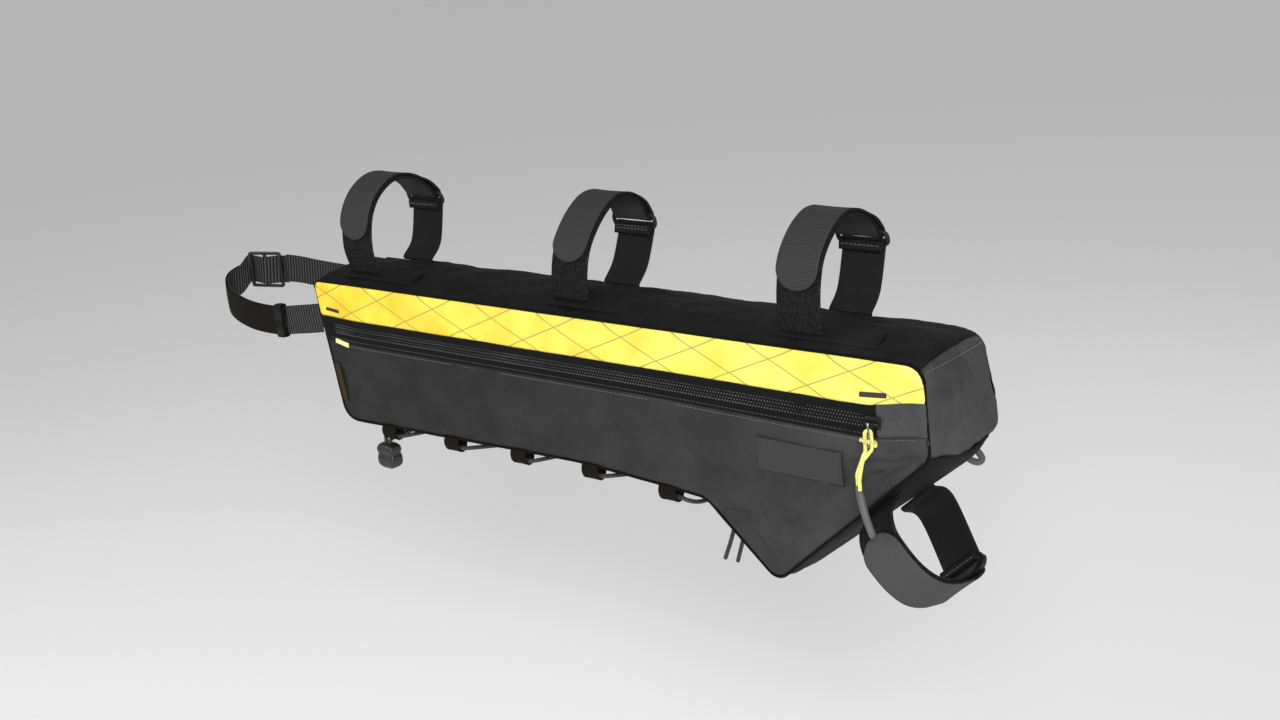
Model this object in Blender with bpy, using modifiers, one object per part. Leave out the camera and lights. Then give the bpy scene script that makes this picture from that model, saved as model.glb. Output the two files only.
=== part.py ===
# Bicycle frame bag: a narrow sewn bag that hangs under a top tube by three loop straps,
# with one more strap round the down tube, a webbing loop at the rear and laced cord below.
# Metres. Forward is +X, up is +Z, and the rider's right side of the bag is at -Y.
# Sizes below are measured from the rear end of the top edge; the finished part is then
# moved so that the axis of the top tube, over the middle strap, is at the origin.
import math
import bpy
import bmesh
from mathutils import Vector

# Bag body
bag_length = 0.500
bag_width = 0.070
cloth = 0.0016
seam_gap = 0.0004
seat_gap = 0.0003
rear_height = 0.103
rear_setback = 0.016
belly_height = 0.0985
belly_middle = 0.240
kink_distance = 0.346
kink_height = 0.104
tip_distance = 0.398
tip_height = 0.148
front_height = 0.051
front_lean = 0.006
panel_step = 0.040
side_bulge = 0.0030
bulge_fade = 0.045
front_flare = 0.0048

# Side bands, down from the top edge
upper_band = 0.0245
zip_band = 0.0175
zip_rise = 0.0010

# Zips, measured back from the front end of the top edge
slider_setback = 0.027
slider_length = 0.010
slider_width = 0.0075
slider_height = 0.0040
slider_round = 0.0012
tab_length = 0.015
tab_width = 0.0048
tab_thickness = 0.0010
tab_hole = 0.0032
tab_rim = 0.0084
tab_rise = 0.002
pull_cord_diameter = 0.0022
pull_drop = 0.0331
grip_diameter = 0.0042
grip_spread = 0.0084
grip_drop = 0.022
knot_radius = 0.0040
knot_turn = 1.35
knot_rise = 0.0040
knot_tail = 0.012
knot_drop = 0.0066
knot_way = (0.91, 0.41)

# How a pull hangs: down from the tab's hole, sway along the bag and out from its side
pull_line = (
    (-0.010, 0.0, 0.0), (0.0113, 0.0, 0.0), (0.016, -0.0028, 0.0008), (0.023, -0.0055, 0.0030),
    (0.033, -0.0040, 0.0055), (0.042, 0.0, 0.0090), (0.050, 0.0050, 0.0120), (0.062, 0.0120, 0.0150),
)

# A leg of the pull cord: how far apart it lies and what share of that, down from the
# hole, and its twist
pull_leg = (
    ("astride", 0.38, -0.0001, 0.0), ("astride", 0.78, 0.0005, 0.0), ("astride", 1.0, 0.0018, 0.0),
    ("astride", 1.0, 0.0105, 0.0), ("beside", 1.0, 0.0130, 0.50), ("beside", 1.0, 0.0155, 1.10),
    ("beside", 1.0, 0.0180, 1.5708), ("half", 1.0, 0.0265, 1.5708), ("half", 1.0, 0.0300, 1.5708),
    ("half", 1.0, 0.0331, 1.5708),
)

# Loop straps
strap_places = (0.0453, 0.2392, 0.4168)
strap_width = 0.030
strap_thickness = 0.0020
loop_reach = 0.050
loop_height = 0.072
tube_axis_height = 0.038
bar_diameter = 0.0028
ring_pitch = 0.0080
ring_round = 0.0030
strip_length = 0.070
strip_width = 0.014
strip_thickness = 0.0010
strip_lead = 0.004
slope_strap_share = 0.64

# Rear webbing loop
webbing_width = 0.022
webbing_thickness = 0.0014
webbing_reach = 0.138
buckle_length = 0.030
buckle_bar = 0.0024
keeper_thickness = 0.0010
keeper_length = 0.008

# Lacing under the belly
loop_count = 5
loop_pitch = 0.0635
first_loop = 0.062
lace_loop_width = 0.014
lace_loop_drop = 0.0095
lace_loop_thickness = 0.0012
lace_loop_inset = 0.002
lace_diameter = 0.0029
lace_inset = 0.0026
cross_dip_high = -0.0010
cross_dip_low = 0.0026
lock_length = 0.0185
lock_width = 0.0195
lock_depth = 0.013
lock_round = 0.0022
lock_gap = 0.0070

# Centre line of a lace loop: out from its middle, and down as a share of its drop
lace_loop_line = (
    (0.0028, 0.0), (0.0036, 0.45), (0.0018, 0.90), (-0.0006, 1.0), (-0.0030, 0.90), (-0.0048, 0.45),
    (-0.0030, 0.126),
)

# How the two cords leave the lock, from the first loop's rear edge and the cord's level:
# forward and up, and forward, across and up
lock_rise = ((-0.00200, -0.0046), (-0.00190, -0.0022), (-0.00150, 0.0002), (0.00020, 0.0008))
lock_cross = (
    (0.00145, -0.0324, -0.0062), (0.0015, -0.0314, -0.0052), (0.0016, -0.0290, -0.0045),
    (0.0024, -0.0250, -0.0034), (0.0030, -0.0140, -0.0040), (0.0015, 0.0, -0.0046), (-0.0020, 0.0140, -0.0036),
    (-0.0044, 0.0250, -0.0014), (-0.0028, 0.0316, 0.0),
)

# The free tails: forward, across and down from their last loops
right_tail_line = (
    (0.0045, 0.0010, 0.0012), (0.0080, 0.0080, 0.0040), (0.0085, 0.0250, 0.0070), (0.0060, 0.0420, 0.0110),
    (0.0025, 0.0540, 0.0190), (-0.0015, 0.0585, 0.0330), (-0.0070, 0.0590, 0.0500), (-0.0140, 0.0585, 0.0680),
)
left_tail_line = (
    (0.0030, 0.0000, 0.0010), (0.0058, -0.0005, 0.0045), (0.0066, -0.0010, 0.0130), (0.0050, -0.0010, 0.0280),
    (-0.0005, -0.0005, 0.0480), (-0.0085, 0.0, 0.0715),
)

# Trim
patch_length = 0.060
patch_height = 0.0205
patch_thickness = 0.0010
patch_setback = 0.0785
patch_drop = 0.437
tag_length = 0.028
tag_width = 0.005
tag_drop = 0.060
tag_inset = 0.003

half_width = bag_width / 2
gusset_half = half_width - cloth - 2 * seat_gap
zip_bottom = upper_band + zip_band
slider_place = bag_length - slider_setback
patch_place = bag_length - patch_setback

# Corners of the side outline, clockwise as seen from the right side:
# name, distance forward, height, corner radius, facets, crown of the strip there
corners = (
    ("rear_top", 0.0, 0.0, 0.005, 3, 0.0060),
    ("front_top", bag_length, 0.0, 0.011, 5, 0.0100),
    ("front_bottom", bag_length + front_lean, -front_height, 0.012, 3, 0.0105),
    ("tip", tip_distance, -tip_height, 0.009, 5, 0.0040),
    ("kink", kink_distance, -kink_height, 0.018, 3, 0.0030),
    ("belly", belly_middle, -belly_height, 0.250, 1, 0.0030),
    ("rear_bottom", rear_setback, -rear_height, 0.013, 5, 0.0030),
)
top_crown = 0.0100
crown_columns = (-1.0, -0.80, -0.50, -0.16, 0.16, 0.50, 0.80, 1.0)

# Broad folds of the lower side panels: place forward and down as shares of the bag's
# length and tip height, direction in degrees, half length and half width as shares of
# the bag's length, and depth as a share of the bag's width
lower_folds = (
    # forward, down, degrees, length, width, depth
    (0.700, 0.800, 12.0, 0.080, 0.022, -0.045),
    (0.790, 0.620, -8.0, 0.090, 0.030, 0.030),
    (0.940, 0.420, 40.0, 0.050, 0.020, -0.030),
    (0.480, 0.480, -35.0, 0.070, 0.025, -0.022),
    (0.250, 0.520, 20.0, 0.080, 0.030, -0.018),
)

# Centre line of each strap from its seat on the near side over to the ring:
# across and up, as shares of the loop's reach and height
near_strap_lines = (
    ((-0.47, 0.09), (-0.55, 0.34), (-0.53, 0.56), (-0.44, 0.74), (-0.25, 0.89),
     (0.04, 0.98), (0.34, 0.96), (0.62, 0.85), (0.78, 0.71)),
    ((-0.47, 0.09), (-0.47, 0.29), (-0.40, 0.50), (-0.26, 0.66), (-0.02, 0.82),
     (0.26, 0.92), (0.54, 0.91), (0.76, 0.81), (0.87, 0.66)),
    ((-0.51, 0.09), (-0.54, 0.32), (-0.50, 0.54), (-0.40, 0.72), (-0.17, 0.88),
     (0.12, 0.97), (0.40, 0.95), (0.68, 0.84), (0.83, 0.70)),
)
slope_strap_line = (
    (-0.66, 0.03), (-0.88, 0.12), (-1.05, 0.26), (-1.08, 0.44), (-1.05, 0.61), (-0.94, 0.75),
    (-0.72, 0.84), (-0.46, 0.868), (-0.24, 0.845),
)
top_anchor_seat = (0.56, 0.09)
top_anchor_middle = (0.78, 0.24)
slope_anchor_seat = (0.02, 0.09)
slope_anchor_middle = (0.20, 0.30)
ring_tilt = -0.34
slope_ring_tilt = -0.39
tab_share = 0.22
slope_tab_share = 0.24
tab_round = 0.013
anchor_hem = 0.010

# Centre line of the rear webbing: back, across and down, as shares of its reach,
# the bag's half width and the webbing's width
webbing_line = (
    (0.010, -0.89, -1.32), (0.16, -0.94, -1.45), (0.36, -0.94, -1.61), (0.61, -0.86, -1.61),
    (0.85, -0.60, -1.45), (0.99, -0.20, -1.20), (0.985, 0.20, -0.95), (0.86, 0.44, -0.68),
    (0.665, 0.60, -0.59), (0.435, 0.77, -0.75), (0.20, 0.88, -0.86), (0.010, 0.90, -0.91),
)
sleeve_from = 0.125
sleeve_to = 0.525
keeper_at = 0.145
buckle_at = 0.598


def srgb(hex_code):
    values = []
    for start in (0, 2, 4):
        level = int(hex_code[start:start + 2], 16) / 255
        values.append(level / 12.92 if level <= 0.04045 else ((level + 0.055) / 1.055) ** 2.4)
    return (*values, 1.0)


def finish(name, hex_code, roughness, metallic=0.0):
    material = bpy.data.materials.new(name)
    material.use_nodes = True
    shader = material.node_tree.nodes["Principled BSDF"]
    shader.inputs["Base Color"].default_value = srgb(hex_code)
    shader.inputs["Roughness"].default_value = roughness
    shader.inputs["Metallic"].default_value = metallic
    return material


def place(item, material, location=(0, 0, 0), rotation=(0, 0, 0)):
    item.data.materials.append(material)
    item.location = location
    item.rotation_euler = rotation
    item.parent = datum
    bag.objects.link(item)
    return item


def smooth_mesh(mesh, angle=35.0):
    mesh.shade_smooth()
    mesh.set_sharp_from_angle(angle=math.radians(angle))


def sheet(name, rows, thickness, facing, material, offset=-1.0, location=(0, 0, 0), rotation=(0, 0, 0)):
    # an open grid of points, thickened by Solidify; facing is the side that its normals look to
    mesh = bpy.data.meshes.new(name)
    count = len(rows[0])
    points = [point for row in rows for point in row]
    faces = []
    for i in range(len(rows) - 1):
        for j in range(count - 1):
            a = i * count + j
            faces.append((a, a + 1, a + count + 1, a + count))
    mesh.from_pydata([tuple(p) for p in points], [], faces)
    middle = mesh.polygons[len(mesh.polygons) // 2].normal
    if middle.dot(Vector(facing)) < 0:
        mesh.flip_normals()
    smooth_mesh(mesh)
    item = bpy.data.objects.new(name, mesh)
    place(item, material, location, rotation)
    shell = item.modifiers.new("thickness", "SOLIDIFY")
    shell.thickness = thickness
    shell.offset = offset
    shell.use_even_offset = True
    shell.use_quality_normals = True
    return item


def smooth_line(points, step):
    # evenly spaced points on a Catmull-Rom curve through the given ones
    points = [Vector(p) for p in points]
    ends = [2 * points[0] - points[1]] + points + [2 * points[-1] - points[-2]]
    fine = []
    parts = 24
    for k in range(1, len(ends) - 2):
        a, b, c, d = ends[k - 1:k + 3]
        for i in range(parts):
            t = i / parts
            fine.append(0.5 * (2 * b + (c - a) * t + (2 * a - 5 * b + 4 * c - d) * t * t
                               + (3 * b - a - 3 * c + d) * t ** 3))
    fine.append(points[-1])
    lengths = [0.0]
    for a, b in zip(fine, fine[1:]):
        lengths.append(lengths[-1] + (b - a).length)
    count = max(2, round(lengths[-1] / step))
    result = []
    k = 0
    for i in range(count + 1):
        wanted = lengths[-1] * i / count
        while k < len(fine) - 2 and lengths[k + 1] < wanted:
            k += 1
        span = lengths[k + 1] - lengths[k]
        result.append(fine[k].lerp(fine[k + 1], (wanted - lengths[k]) / span if span else 0.0))
    return result


def through_line(points, longest):
    # the same curve with each given point kept; a span longer than given is halved
    points = [Vector(p) for p in points]
    ends = [2 * points[0] - points[1]] + points + [2 * points[-1] - points[-2]]
    result = [points[0]]
    for a, b, c, d in zip(ends, ends[1:], ends[2:], ends[3:]):
        if (c - b).length > longest:
            result.append(0.5625 * (b + c) - 0.0625 * (a + d))
        result.append(c)
    return result


def directions(line):
    result = []
    for i in range(len(line)):
        result.append((line[min(i + 1, len(line) - 1)] - line[max(i - 1, 0)]).normalized())
    return result


def line_length(line):
    return sum((b - a).length for a, b in zip(line, line[1:]))


def tube(name, line, diameter, material, cyclic=False, location=(0, 0, 0), rotation=(0, 0, 0)):
    curve = bpy.data.curves.new(name, "CURVE")
    curve.dimensions = "3D"
    curve.bevel_depth = diameter / 2
    curve.bevel_resolution = 2
    curve.use_fill_caps = not cyclic
    spline = curve.splines.new("POLY")
    spline.points.add(len(line) - 1)
    for point, place_of in zip(spline.points, line):
        point.co = (*place_of, 1.0)
    spline.use_cyclic_u = cyclic
    spline.use_smooth = True
    item = bpy.data.objects.new(name, curve)
    return place(item, material, location, rotation)


def plate(name, outline, thickness, material, holes=(), location=(0, 0, 0), rotation=(0, 0, 0)):
    # a flat outline in the XY plane with holes through it
    curve = bpy.data.curves.new(name, "CURVE")
    curve.dimensions = "2D"
    curve.fill_mode = "BOTH"
    curve.extrude = thickness / 2
    for ring in (outline, *holes):
        spline = curve.splines.new("POLY")
        spline.points.add(len(ring) - 1)
        for point, (x, y) in zip(spline.points, ring):
            point.co = (x, y, 0.0, 1.0)
        spline.use_cyclic_u = True
    item = bpy.data.objects.new(name, curve)
    return place(item, material, location, rotation)


def rounded_box(name, size, round_by, material, location=(0, 0, 0), rotation=(0, 0, 0)):
    mesh = bpy.data.meshes.new(name)
    shape = bmesh.new()
    bmesh.ops.create_cube(shape, size=1.0)
    bmesh.ops.scale(shape, vec=size, verts=shape.verts)
    shape.to_mesh(mesh)
    shape.free()
    smooth_mesh(mesh)
    item = bpy.data.objects.new(name, mesh)
    place(item, material, location, rotation)
    edge = item.modifiers.new("round", "BEVEL")
    edge.width = round_by
    edge.segments = 2
    return item


def rounded_rectangle(length, width, radius, facets=3):
    points = []
    for k, (sx, sy) in enumerate(((1, 1), (-1, 1), (-1, -1), (1, -1))):
        for i in range(facets + 1):
            angle = math.pi / 2 * (k + i / facets)
            points.append((sx * (length / 2 - radius) + radius * math.cos(angle),
                           sy * (width / 2 - radius) + radius * math.sin(angle)))
    return points


def circle(radius, count, centre=(0, 0)):
    return [(centre[0] + radius * math.cos(2 * math.pi * i / count),
             centre[1] + radius * math.sin(2 * math.pi * i / count)) for i in range(count)]


def outline_ring():
    # the side outline as points in (forward, up), with each corner rounded;
    # also gives where each corner's arc starts and ends in the list
    ring = []
    crowns = []
    arcs = {}
    for k, (name, x, z, radius, facets, crown) in enumerate(corners):
        corner = Vector((x, z))
        before = Vector(corners[k - 1][1:3])
        after = Vector(corners[(k + 1) % len(corners)][1:3])
        arrive = (corner - before).normalized()
        leave = (after - corner).normalized()
        turn = arrive.angle(leave)
        reach = radius * math.tan(turn / 2)
        start = corner - arrive * reach
        inward = (leave - arrive).normalized()
        centre = corner + inward * (radius / math.cos(turn / 2))
        arcs[name] = (len(ring), len(ring) + facets)
        sign = 1.0 if arrive.cross(leave) > 0 else -1.0
        for i in range(facets + 1):
            angle = sign * turn * i / facets
            arm = start - centre
            ring.append(centre + Vector((arm.x * math.cos(angle) - arm.y * math.sin(angle),
                                         arm.x * math.sin(angle) + arm.y * math.cos(angle))))
            crowns.append(crown)
        next_row = corners[(k + 1) % len(corners)]
        beyond = Vector(corners[(k + 2) % len(corners)][1:3])
        next_turn = leave.angle((beyond - after).normalized())
        finish_point = after - leave * next_row[3] * math.tan(next_turn / 2)
        run = finish_point - ring[-1]
        parts = max(1, round(run.length / panel_step))
        for i in range(1, parts):
            share = i / parts
            ring.append(ring[arcs[name][1]] + run * share)
            height = crown + (next_row[5] - crown) * share
            if name == "rear_top":
                height = max(height, top_crown)
            crowns.append(height)
    return ring, crowns, arcs


def ring_normals(ring):
    result = []
    for i in range(len(ring)):
        ahead = (ring[(i + 1) % len(ring)] - ring[i]).normalized()
        behind = (ring[i] - ring[i - 1]).normalized()
        along = (ahead + behind).normalized()
        result.append(Vector((-along.y, along.x)))
    return result


def crown_share(column):
    return 1.0 - abs(column) ** 2.6


def gusset(name, first, last, facing, material):
    # one strip of cloth across the bag, from the middle of one corner to the middle of another
    count = len(ring)
    start = arcs[first][0] + (arcs[first][1] - arcs[first][0]) // 2
    end = arcs[last][0] + (arcs[last][1] - arcs[last][0]) // 2
    if end < start:
        end += count
    stations = []
    for i in range(start, end + 1):
        at = ring[i % count]
        crown = crowns[i % count]
        normal = normals[i % count]
        step = ring[(i + 1) % count] - at
        flat = Vector((-step.y, step.x)).normalized()
        if i == start:
            stations.append((at + step / 2 + step.normalized() * seam_gap / 2, crown, flat))
        elif i == end:
            stations.append((at, crown, normal))
            stations.append((at + step / 2 - step.normalized() * seam_gap / 2, crown, flat))
        else:
            stations.append((at, crown, normal))
    rows = []
    for at, crown, normal in stations:
        row = []
        for column in crown_columns:
            rise = crown * crown_share(column)
            half = gusset_half + flare(at.x, at.y)
            row.append(Vector((at.x + normal.x * rise, half * column, at.y + normal.y * rise)))
        rows.append(row)
    return sheet(name, rows, cloth, facing, material)


def strip_height(across, half, crown):
    # height of a crowned strip's faceted surface, at a distance across from its middle
    column = abs(across) / half
    middle = len(crown_columns) // 2
    for a, b in zip(crown_columns[middle:], crown_columns[middle + 1:]):
        if column <= b:
            share = max(0.0, (column - a) / (b - a))
            return crown * (crown_share(a) + (crown_share(b) - crown_share(a)) * share)
    return 0.0


def top_surface(y):
    return strip_height(y, gusset_half, top_crown)


def slope_surface(y):
    return strip_height(y, gusset_half + flare(slope_spot.x, slope_spot.y), slope_crown)


def rear_edge(z):
    return rear_setback * -z / rear_height


def front_edge(z):
    return bag_length + front_lean * -z / front_height


def ease(value):
    value = min(1.0, max(0.0, value))
    return value * value * (3 - 2 * value)


def bottom_height(x):
    # height of the side outline's lower edge at a distance forward
    for a, b in zip(lower_edge, lower_edge[1:]):
        if a.x <= x <= b.x and b.x > a.x:
            return a.y + (b.y - a.y) * (x - a.x) / (b.x - a.x)
    return lower_edge[0].y if x < lower_edge[0].x else lower_edge[-1].y


def flare(x, z):
    # the bag widens towards its lower front corner
    return front_flare * ease((x / bag_length - 0.55) / 0.40) * ease(-z / front_height)


def side_depth(x, z):
    # how far the side of the bag stands out from its flat outline
    floor = bottom_height(x)
    rise = min(1.0, max(0.0, (z - floor) / -floor))
    across = 1.0 - (2.0 * rise - 1.0) ** 4
    ends = ease((x - rear_edge(z)) / bulge_fade) * ease((front_edge(z) - x) / bulge_fade)
    depth = flare(x, z) + side_bulge * across * ends
    low = max(0.0, min(1.0, (-zip_bottom - z) / (0.20 * tip_height))) * min(1.0, across * 1.5) * ends
    for forward, down, degrees, length, width, fold in lower_folds:
        dx = x - forward * bag_length
        dz = z + down * tip_height
        turn = math.radians(degrees)
        along = (dx * math.cos(turn) + dz * math.sin(turn)) / (length * bag_length)
        aside = (dz * math.cos(turn) - dx * math.sin(turn)) / (width * bag_length)
        depth += fold * bag_width * low * math.exp(-along * along - aside * aside)
    return depth


def side_sheet(name, side, top_line, bottom_line, levels, relief, material):
    # a band of the side between two lines of equal count, with rows at the given levels
    rows = []
    for level, lift in zip(levels, relief):
        row = []
        for top, bottom in zip(top_line, bottom_line):
            at = bottom.lerp(top, level)
            row.append(Vector((at.x, side * (half_width + side_depth(at.x, at.y) + lift), at.y)))
        rows.append(row)
    return sheet(name, rows, cloth, (0, side, 0), material)


def straight_under(line, z):
    # a level line at height z, as long as the bag is there, spread like the given line
    left = rear_edge(z)
    right = front_edge(z)
    span = line[-1].x - line[0].x
    return [Vector((left + (right - left) * (p.x - line[0].x) / span, z)) for p in line]


def make_body():
    gusset("top_panel", "rear_top", "front_top", (0, 0, 1), nylon)
    gusset("front_panel", "front_top", "front_bottom", (1, 0, 0), nylon)
    gusset("down_tube_panel", "front_bottom", "tip", (1, 0, -1), nylon)
    gusset("belly_panel", "tip", "rear_bottom", (0, 0, -1), nylon)
    gusset("rear_panel", "rear_bottom", "rear_top", (-1, 0, 0), nylon)
    upper_edge = ring[arcs["rear_top"][0]:arcs["front_top"][1] + 1]
    upper_low = straight_under(upper_edge, -upper_band + seam_gap / 2)
    lower_high = straight_under(lower_edge, -zip_bottom - seam_gap / 2)
    zip_high = straight_under(upper_edge, -upper_band - seam_gap / 2)
    zip_low = straight_under(upper_edge, -zip_bottom + seam_gap / 2)
    for word, side in (("right", -1), ("left", 1)):
        side_sheet(word + "_upper_panel", side, upper_edge, upper_low, (0.0, 0.5, 1.0), (0, 0, 0),
                   yellow_cloth)
        side_sheet(word + "_zipper", side, zip_high, zip_low, (0.0, 0.3, 0.42, 0.62, 0.74, 1.0),
                   (0, 0, zip_rise, zip_rise, 0, 0), coil)
        side_sheet(word + "_lower_panel", side, lower_high, lower_edge,
                   (0.0, 0.17, 0.36, 0.56, 0.78, 1.0), (0,) * 6, nylon)


def make_pull(word, side, turn):
    # slider, tab, cord, knot and grip of one zip
    z = -upper_band - zip_band / 2
    face = side * (half_width + side_depth(slider_place, z) + zip_rise + seat_gap)
    rounded_box(word + "_zip_slider", (slider_length, slider_height, slider_width), slider_round, black_metal,
                location=(slider_place, face + side * slider_height / 2, z))
    tab_reach = (tab_width * abs(math.sin(turn)) + tab_thickness * math.cos(turn)) / 2
    tab_y = face + side * (slider_height + seat_gap + tab_reach)
    tab_top = z + tab_rise
    hole_at = -tab_length / 2 + tab_hole / 2 + tab_rim
    plate(word + "_pull_tab", rounded_rectangle(tab_length, tab_width, tab_width / 2 * 0.98, 3),
          tab_thickness, steel, holes=(circle(tab_hole / 2, 10, (hole_at, 0)),),
          location=(slider_place, tab_y, tab_top - tab_length / 2),
          rotation=(math.pi / 2, -math.pi / 2, turn))
    top = Vector((slider_place, tab_y, tab_top - tab_length / 2 + hole_at))
    spread = Vector((math.cos(turn), math.sin(turn), 0.0))

    def hang(apart, down):
        # a point of the pull: apart from its middle line, and down along it
        for a, b in zip(pull_line, pull_line[1:]):
            if down <= b[0] or b is pull_line[-1]:
                share = (down - a[0]) / (b[0] - a[0])
                sway = a[1] + (b[1] - a[1]) * share
                out = a[2] + (b[2] - a[2]) * share
                return top + spread * apart + Vector((sway, side * out, -down))

    half = grip_spread / 2
    distances = {
        "astride": tab_thickness / 2 + pull_cord_diameter / 2 + seat_gap / 2,
        "beside": pull_cord_diameter / 2 + seat_gap / 2, "half": half,
    }
    aside = Vector((-math.sin(turn), math.cos(turn), 0.0))
    leg = []
    for apart, share, down, twist in pull_leg:
        way = aside * math.cos(twist) + spread * math.sin(twist)
        leg.append((way * distances[apart] * share, down))
    points = [hang(0.0, down) - away for away, down in leg[::-1]]
    points = points + [hang(0.0, -seat_gap)] + [hang(0.0, down) + away for away, down in leg]
    tube(word + "_pull_cord", through_line(points, pull_drop / 4), pull_cord_diameter, yellow_cord)
    legs = [(pull_drop + seat_gap + (grip_drop - half) * share) for share in (0.0, 0.3, 0.65)]
    low = pull_drop + seat_gap + grip_drop - half
    bend = [(-half * math.cos(math.pi * i / 6), low + half * math.sin(math.pi * i / 6)) for i in range(7)]
    grip = [hang(-half, d) for d in legs] + [hang(a, d) for a, d in bend]
    grip += [hang(half, d) for d in legs[::-1]]
    tube(word + "_pull_grip", grip, grip_diameter, grey_rubber)
    knot = []
    middle = hang(0.0, knot_drop)
    leave = Vector((knot_way[0], knot_way[1] * side, 0.0))
    last = math.atan2(side * leave.dot(spread), -side * leave.dot(aside))
    for i in range(11):
        angle = last + side * math.pi * knot_turn * (1 - i / 10)
        knot.append(middle + spread * knot_radius * math.cos(angle) + aside * knot_radius * math.sin(angle)
                    + Vector((0, 0, knot_rise * (i / 10 - 0.5))))
    away = (knot[-1] - knot[-2]).normalized()
    for share in (0.35, 1.0):
        knot.append(knot[10] + away * knot_tail * share)
    tube(word + "_pull_knot", knot, pull_cord_diameter, yellow_cord)


def return_layer(line, first_gap, later_gap, until):
    # a second layer beside a line, from its end back to a share of its length
    headings = directions(line)
    keep = int(len(line) * until)
    result = []
    run = 0.0
    for i in range(len(line) - 1, keep - 1, -1):
        if i < len(line) - 1:
            run += (line[i + 1] - line[i]).length
        normal = Vector((0, -headings[i].z, headings[i].y))
        gap = later_gap + (first_gap - later_gap) * (1 - ease(run / (4 * first_gap)))
        result.append(line[i] + normal * gap)
    return result


def half_turn(end, heading, radius):
    # a turn of half a circle round a bar; gives the points and the bar's centre
    normal = Vector((0, -heading.z, heading.y))
    centre = end + normal * radius
    points = []
    steps = 6
    for i in range(1, steps):
        angle = math.pi * i / steps
        points.append(centre - normal * radius * math.cos(angle) + heading * radius * math.sin(angle))
    return points, centre


def band(name, line, width, thickness, material, across, facing, rounded_end=0.0,
         location=(0, 0, 0), rotation=(0, 0, 0)):
    # a flat band along a line; its last stretch can end in a round tab
    left_over = line_length(line)
    rows = []
    previous = line[0]
    for point in line:
        left_over -= (point - previous).length
        previous = point
        half = width / 2
        if rounded_end and left_over < rounded_end:
            half *= math.sqrt(max(0.03, 1 - (1 - left_over / rounded_end) ** 2))
        rows.append([point - across * half, point + across * half])
    return sheet(name, rows, thickness, facing, material, 0.0, location, rotation)


def make_strap(name, shares, anchor_seat, anchor_middle, tilt, tab_until, surface, location,
               rotation=(0, 0, 0)):
    # strap from its seat over to the ring, round the ring's bar and back to its tab,
    # and the short anchor that holds the ring from the other side
    line = [Vector((0, a * loop_reach, up * loop_height)) for a, up in shares]
    line[0].z = surface(line[0].y) + strap_thickness
    line = [Vector((0, line[0].y, surface(line[0].y) + seat_gap * 2))] + line
    path = smooth_line(line, 0.0065)
    turn_radius = bar_diameter / 2 + seat_gap + strap_thickness / 2
    heading = directions(path)[-1]
    bend, upper_bar = half_turn(path[-1], heading, turn_radius)
    back = return_layer(path, 2 * turn_radius, strap_thickness + seat_gap, tab_until)
    across = Vector((1, 0, 0))
    band(name + "_strap", path + bend + back, strap_width, strap_thickness, hook_tape, across, (0, 0, 1),
         tab_round, location, rotation)
    down = (heading * math.sqrt(1 - tilt * tilt) + Vector((0, -heading.z, heading.y)) * tilt).normalized()
    lower_bar = upper_bar + down * ring_pitch
    seat = Vector((0, anchor_seat[0] * loop_reach, 0))
    seat.z = surface(seat.y) + seat_gap * 2
    middle = Vector((0, anchor_middle[0] * loop_reach, anchor_middle[1] * loop_height))
    outside = Vector((0, -down.z, down.y))
    arrive = lower_bar + outside * turn_radius
    leg = smooth_line([seat, seat + Vector((0, 0, strap_thickness)), middle,
                       arrive + down * 0.35 * ring_pitch, arrive], 0.0065)
    rise = directions(leg)[-1]
    bend, centre = half_turn(leg[-1], rise, turn_radius)
    shift = lower_bar - centre
    for i in range(len(leg)):
        leg[i] = leg[i] + shift * ease(i / (len(leg) - 1))
    bend = [point + shift for point in bend]
    keep = max(0.0, 1 - anchor_hem / line_length(leg))
    hem = return_layer(leg, 2 * turn_radius, strap_thickness + seat_gap, keep)
    band(name + "_anchor", leg + bend + hem, strap_width, strap_thickness, webbing, across, (0, 1, 0), 0.0,
         location, rotation)
    ring_length = strap_width + 2 * (seat_gap * 3 + bar_diameter / 2)
    middle_of_ring = (upper_bar + lower_bar) / 2
    loop = [middle_of_ring + across * x + down * y
            for x, y in rounded_rectangle(ring_length, ring_pitch, ring_round, 2)]
    tube(name + "_ring", loop, bar_diameter, plastic, cyclic=True, location=location, rotation=rotation)


def make_strips():
    # short webbing strips on the top panel that the near legs of the straps are sewn to
    low_y = near_strap_lines[0][0][0] * loop_reach - strip_width / 2 + strap_thickness
    for number, x in enumerate(strap_places, 1):
        start = x - strap_width / 2 - strip_lead
        rows = []
        for j in range(4):
            y = low_y + strip_width * j / 3
            z = top_surface(y) + seat_gap * 2
            rows.append([Vector((start + strip_length * k / 3, y, z)) for k in range(4)])
        sheet("strap_strip_" + str(number), rows, strip_thickness, (0, 0, 1), webbing, 1.0)


def strip_surface(y):
    return top_surface(y) + (seat_gap * 2 + strip_thickness if y < 0 else 0.0)


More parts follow.
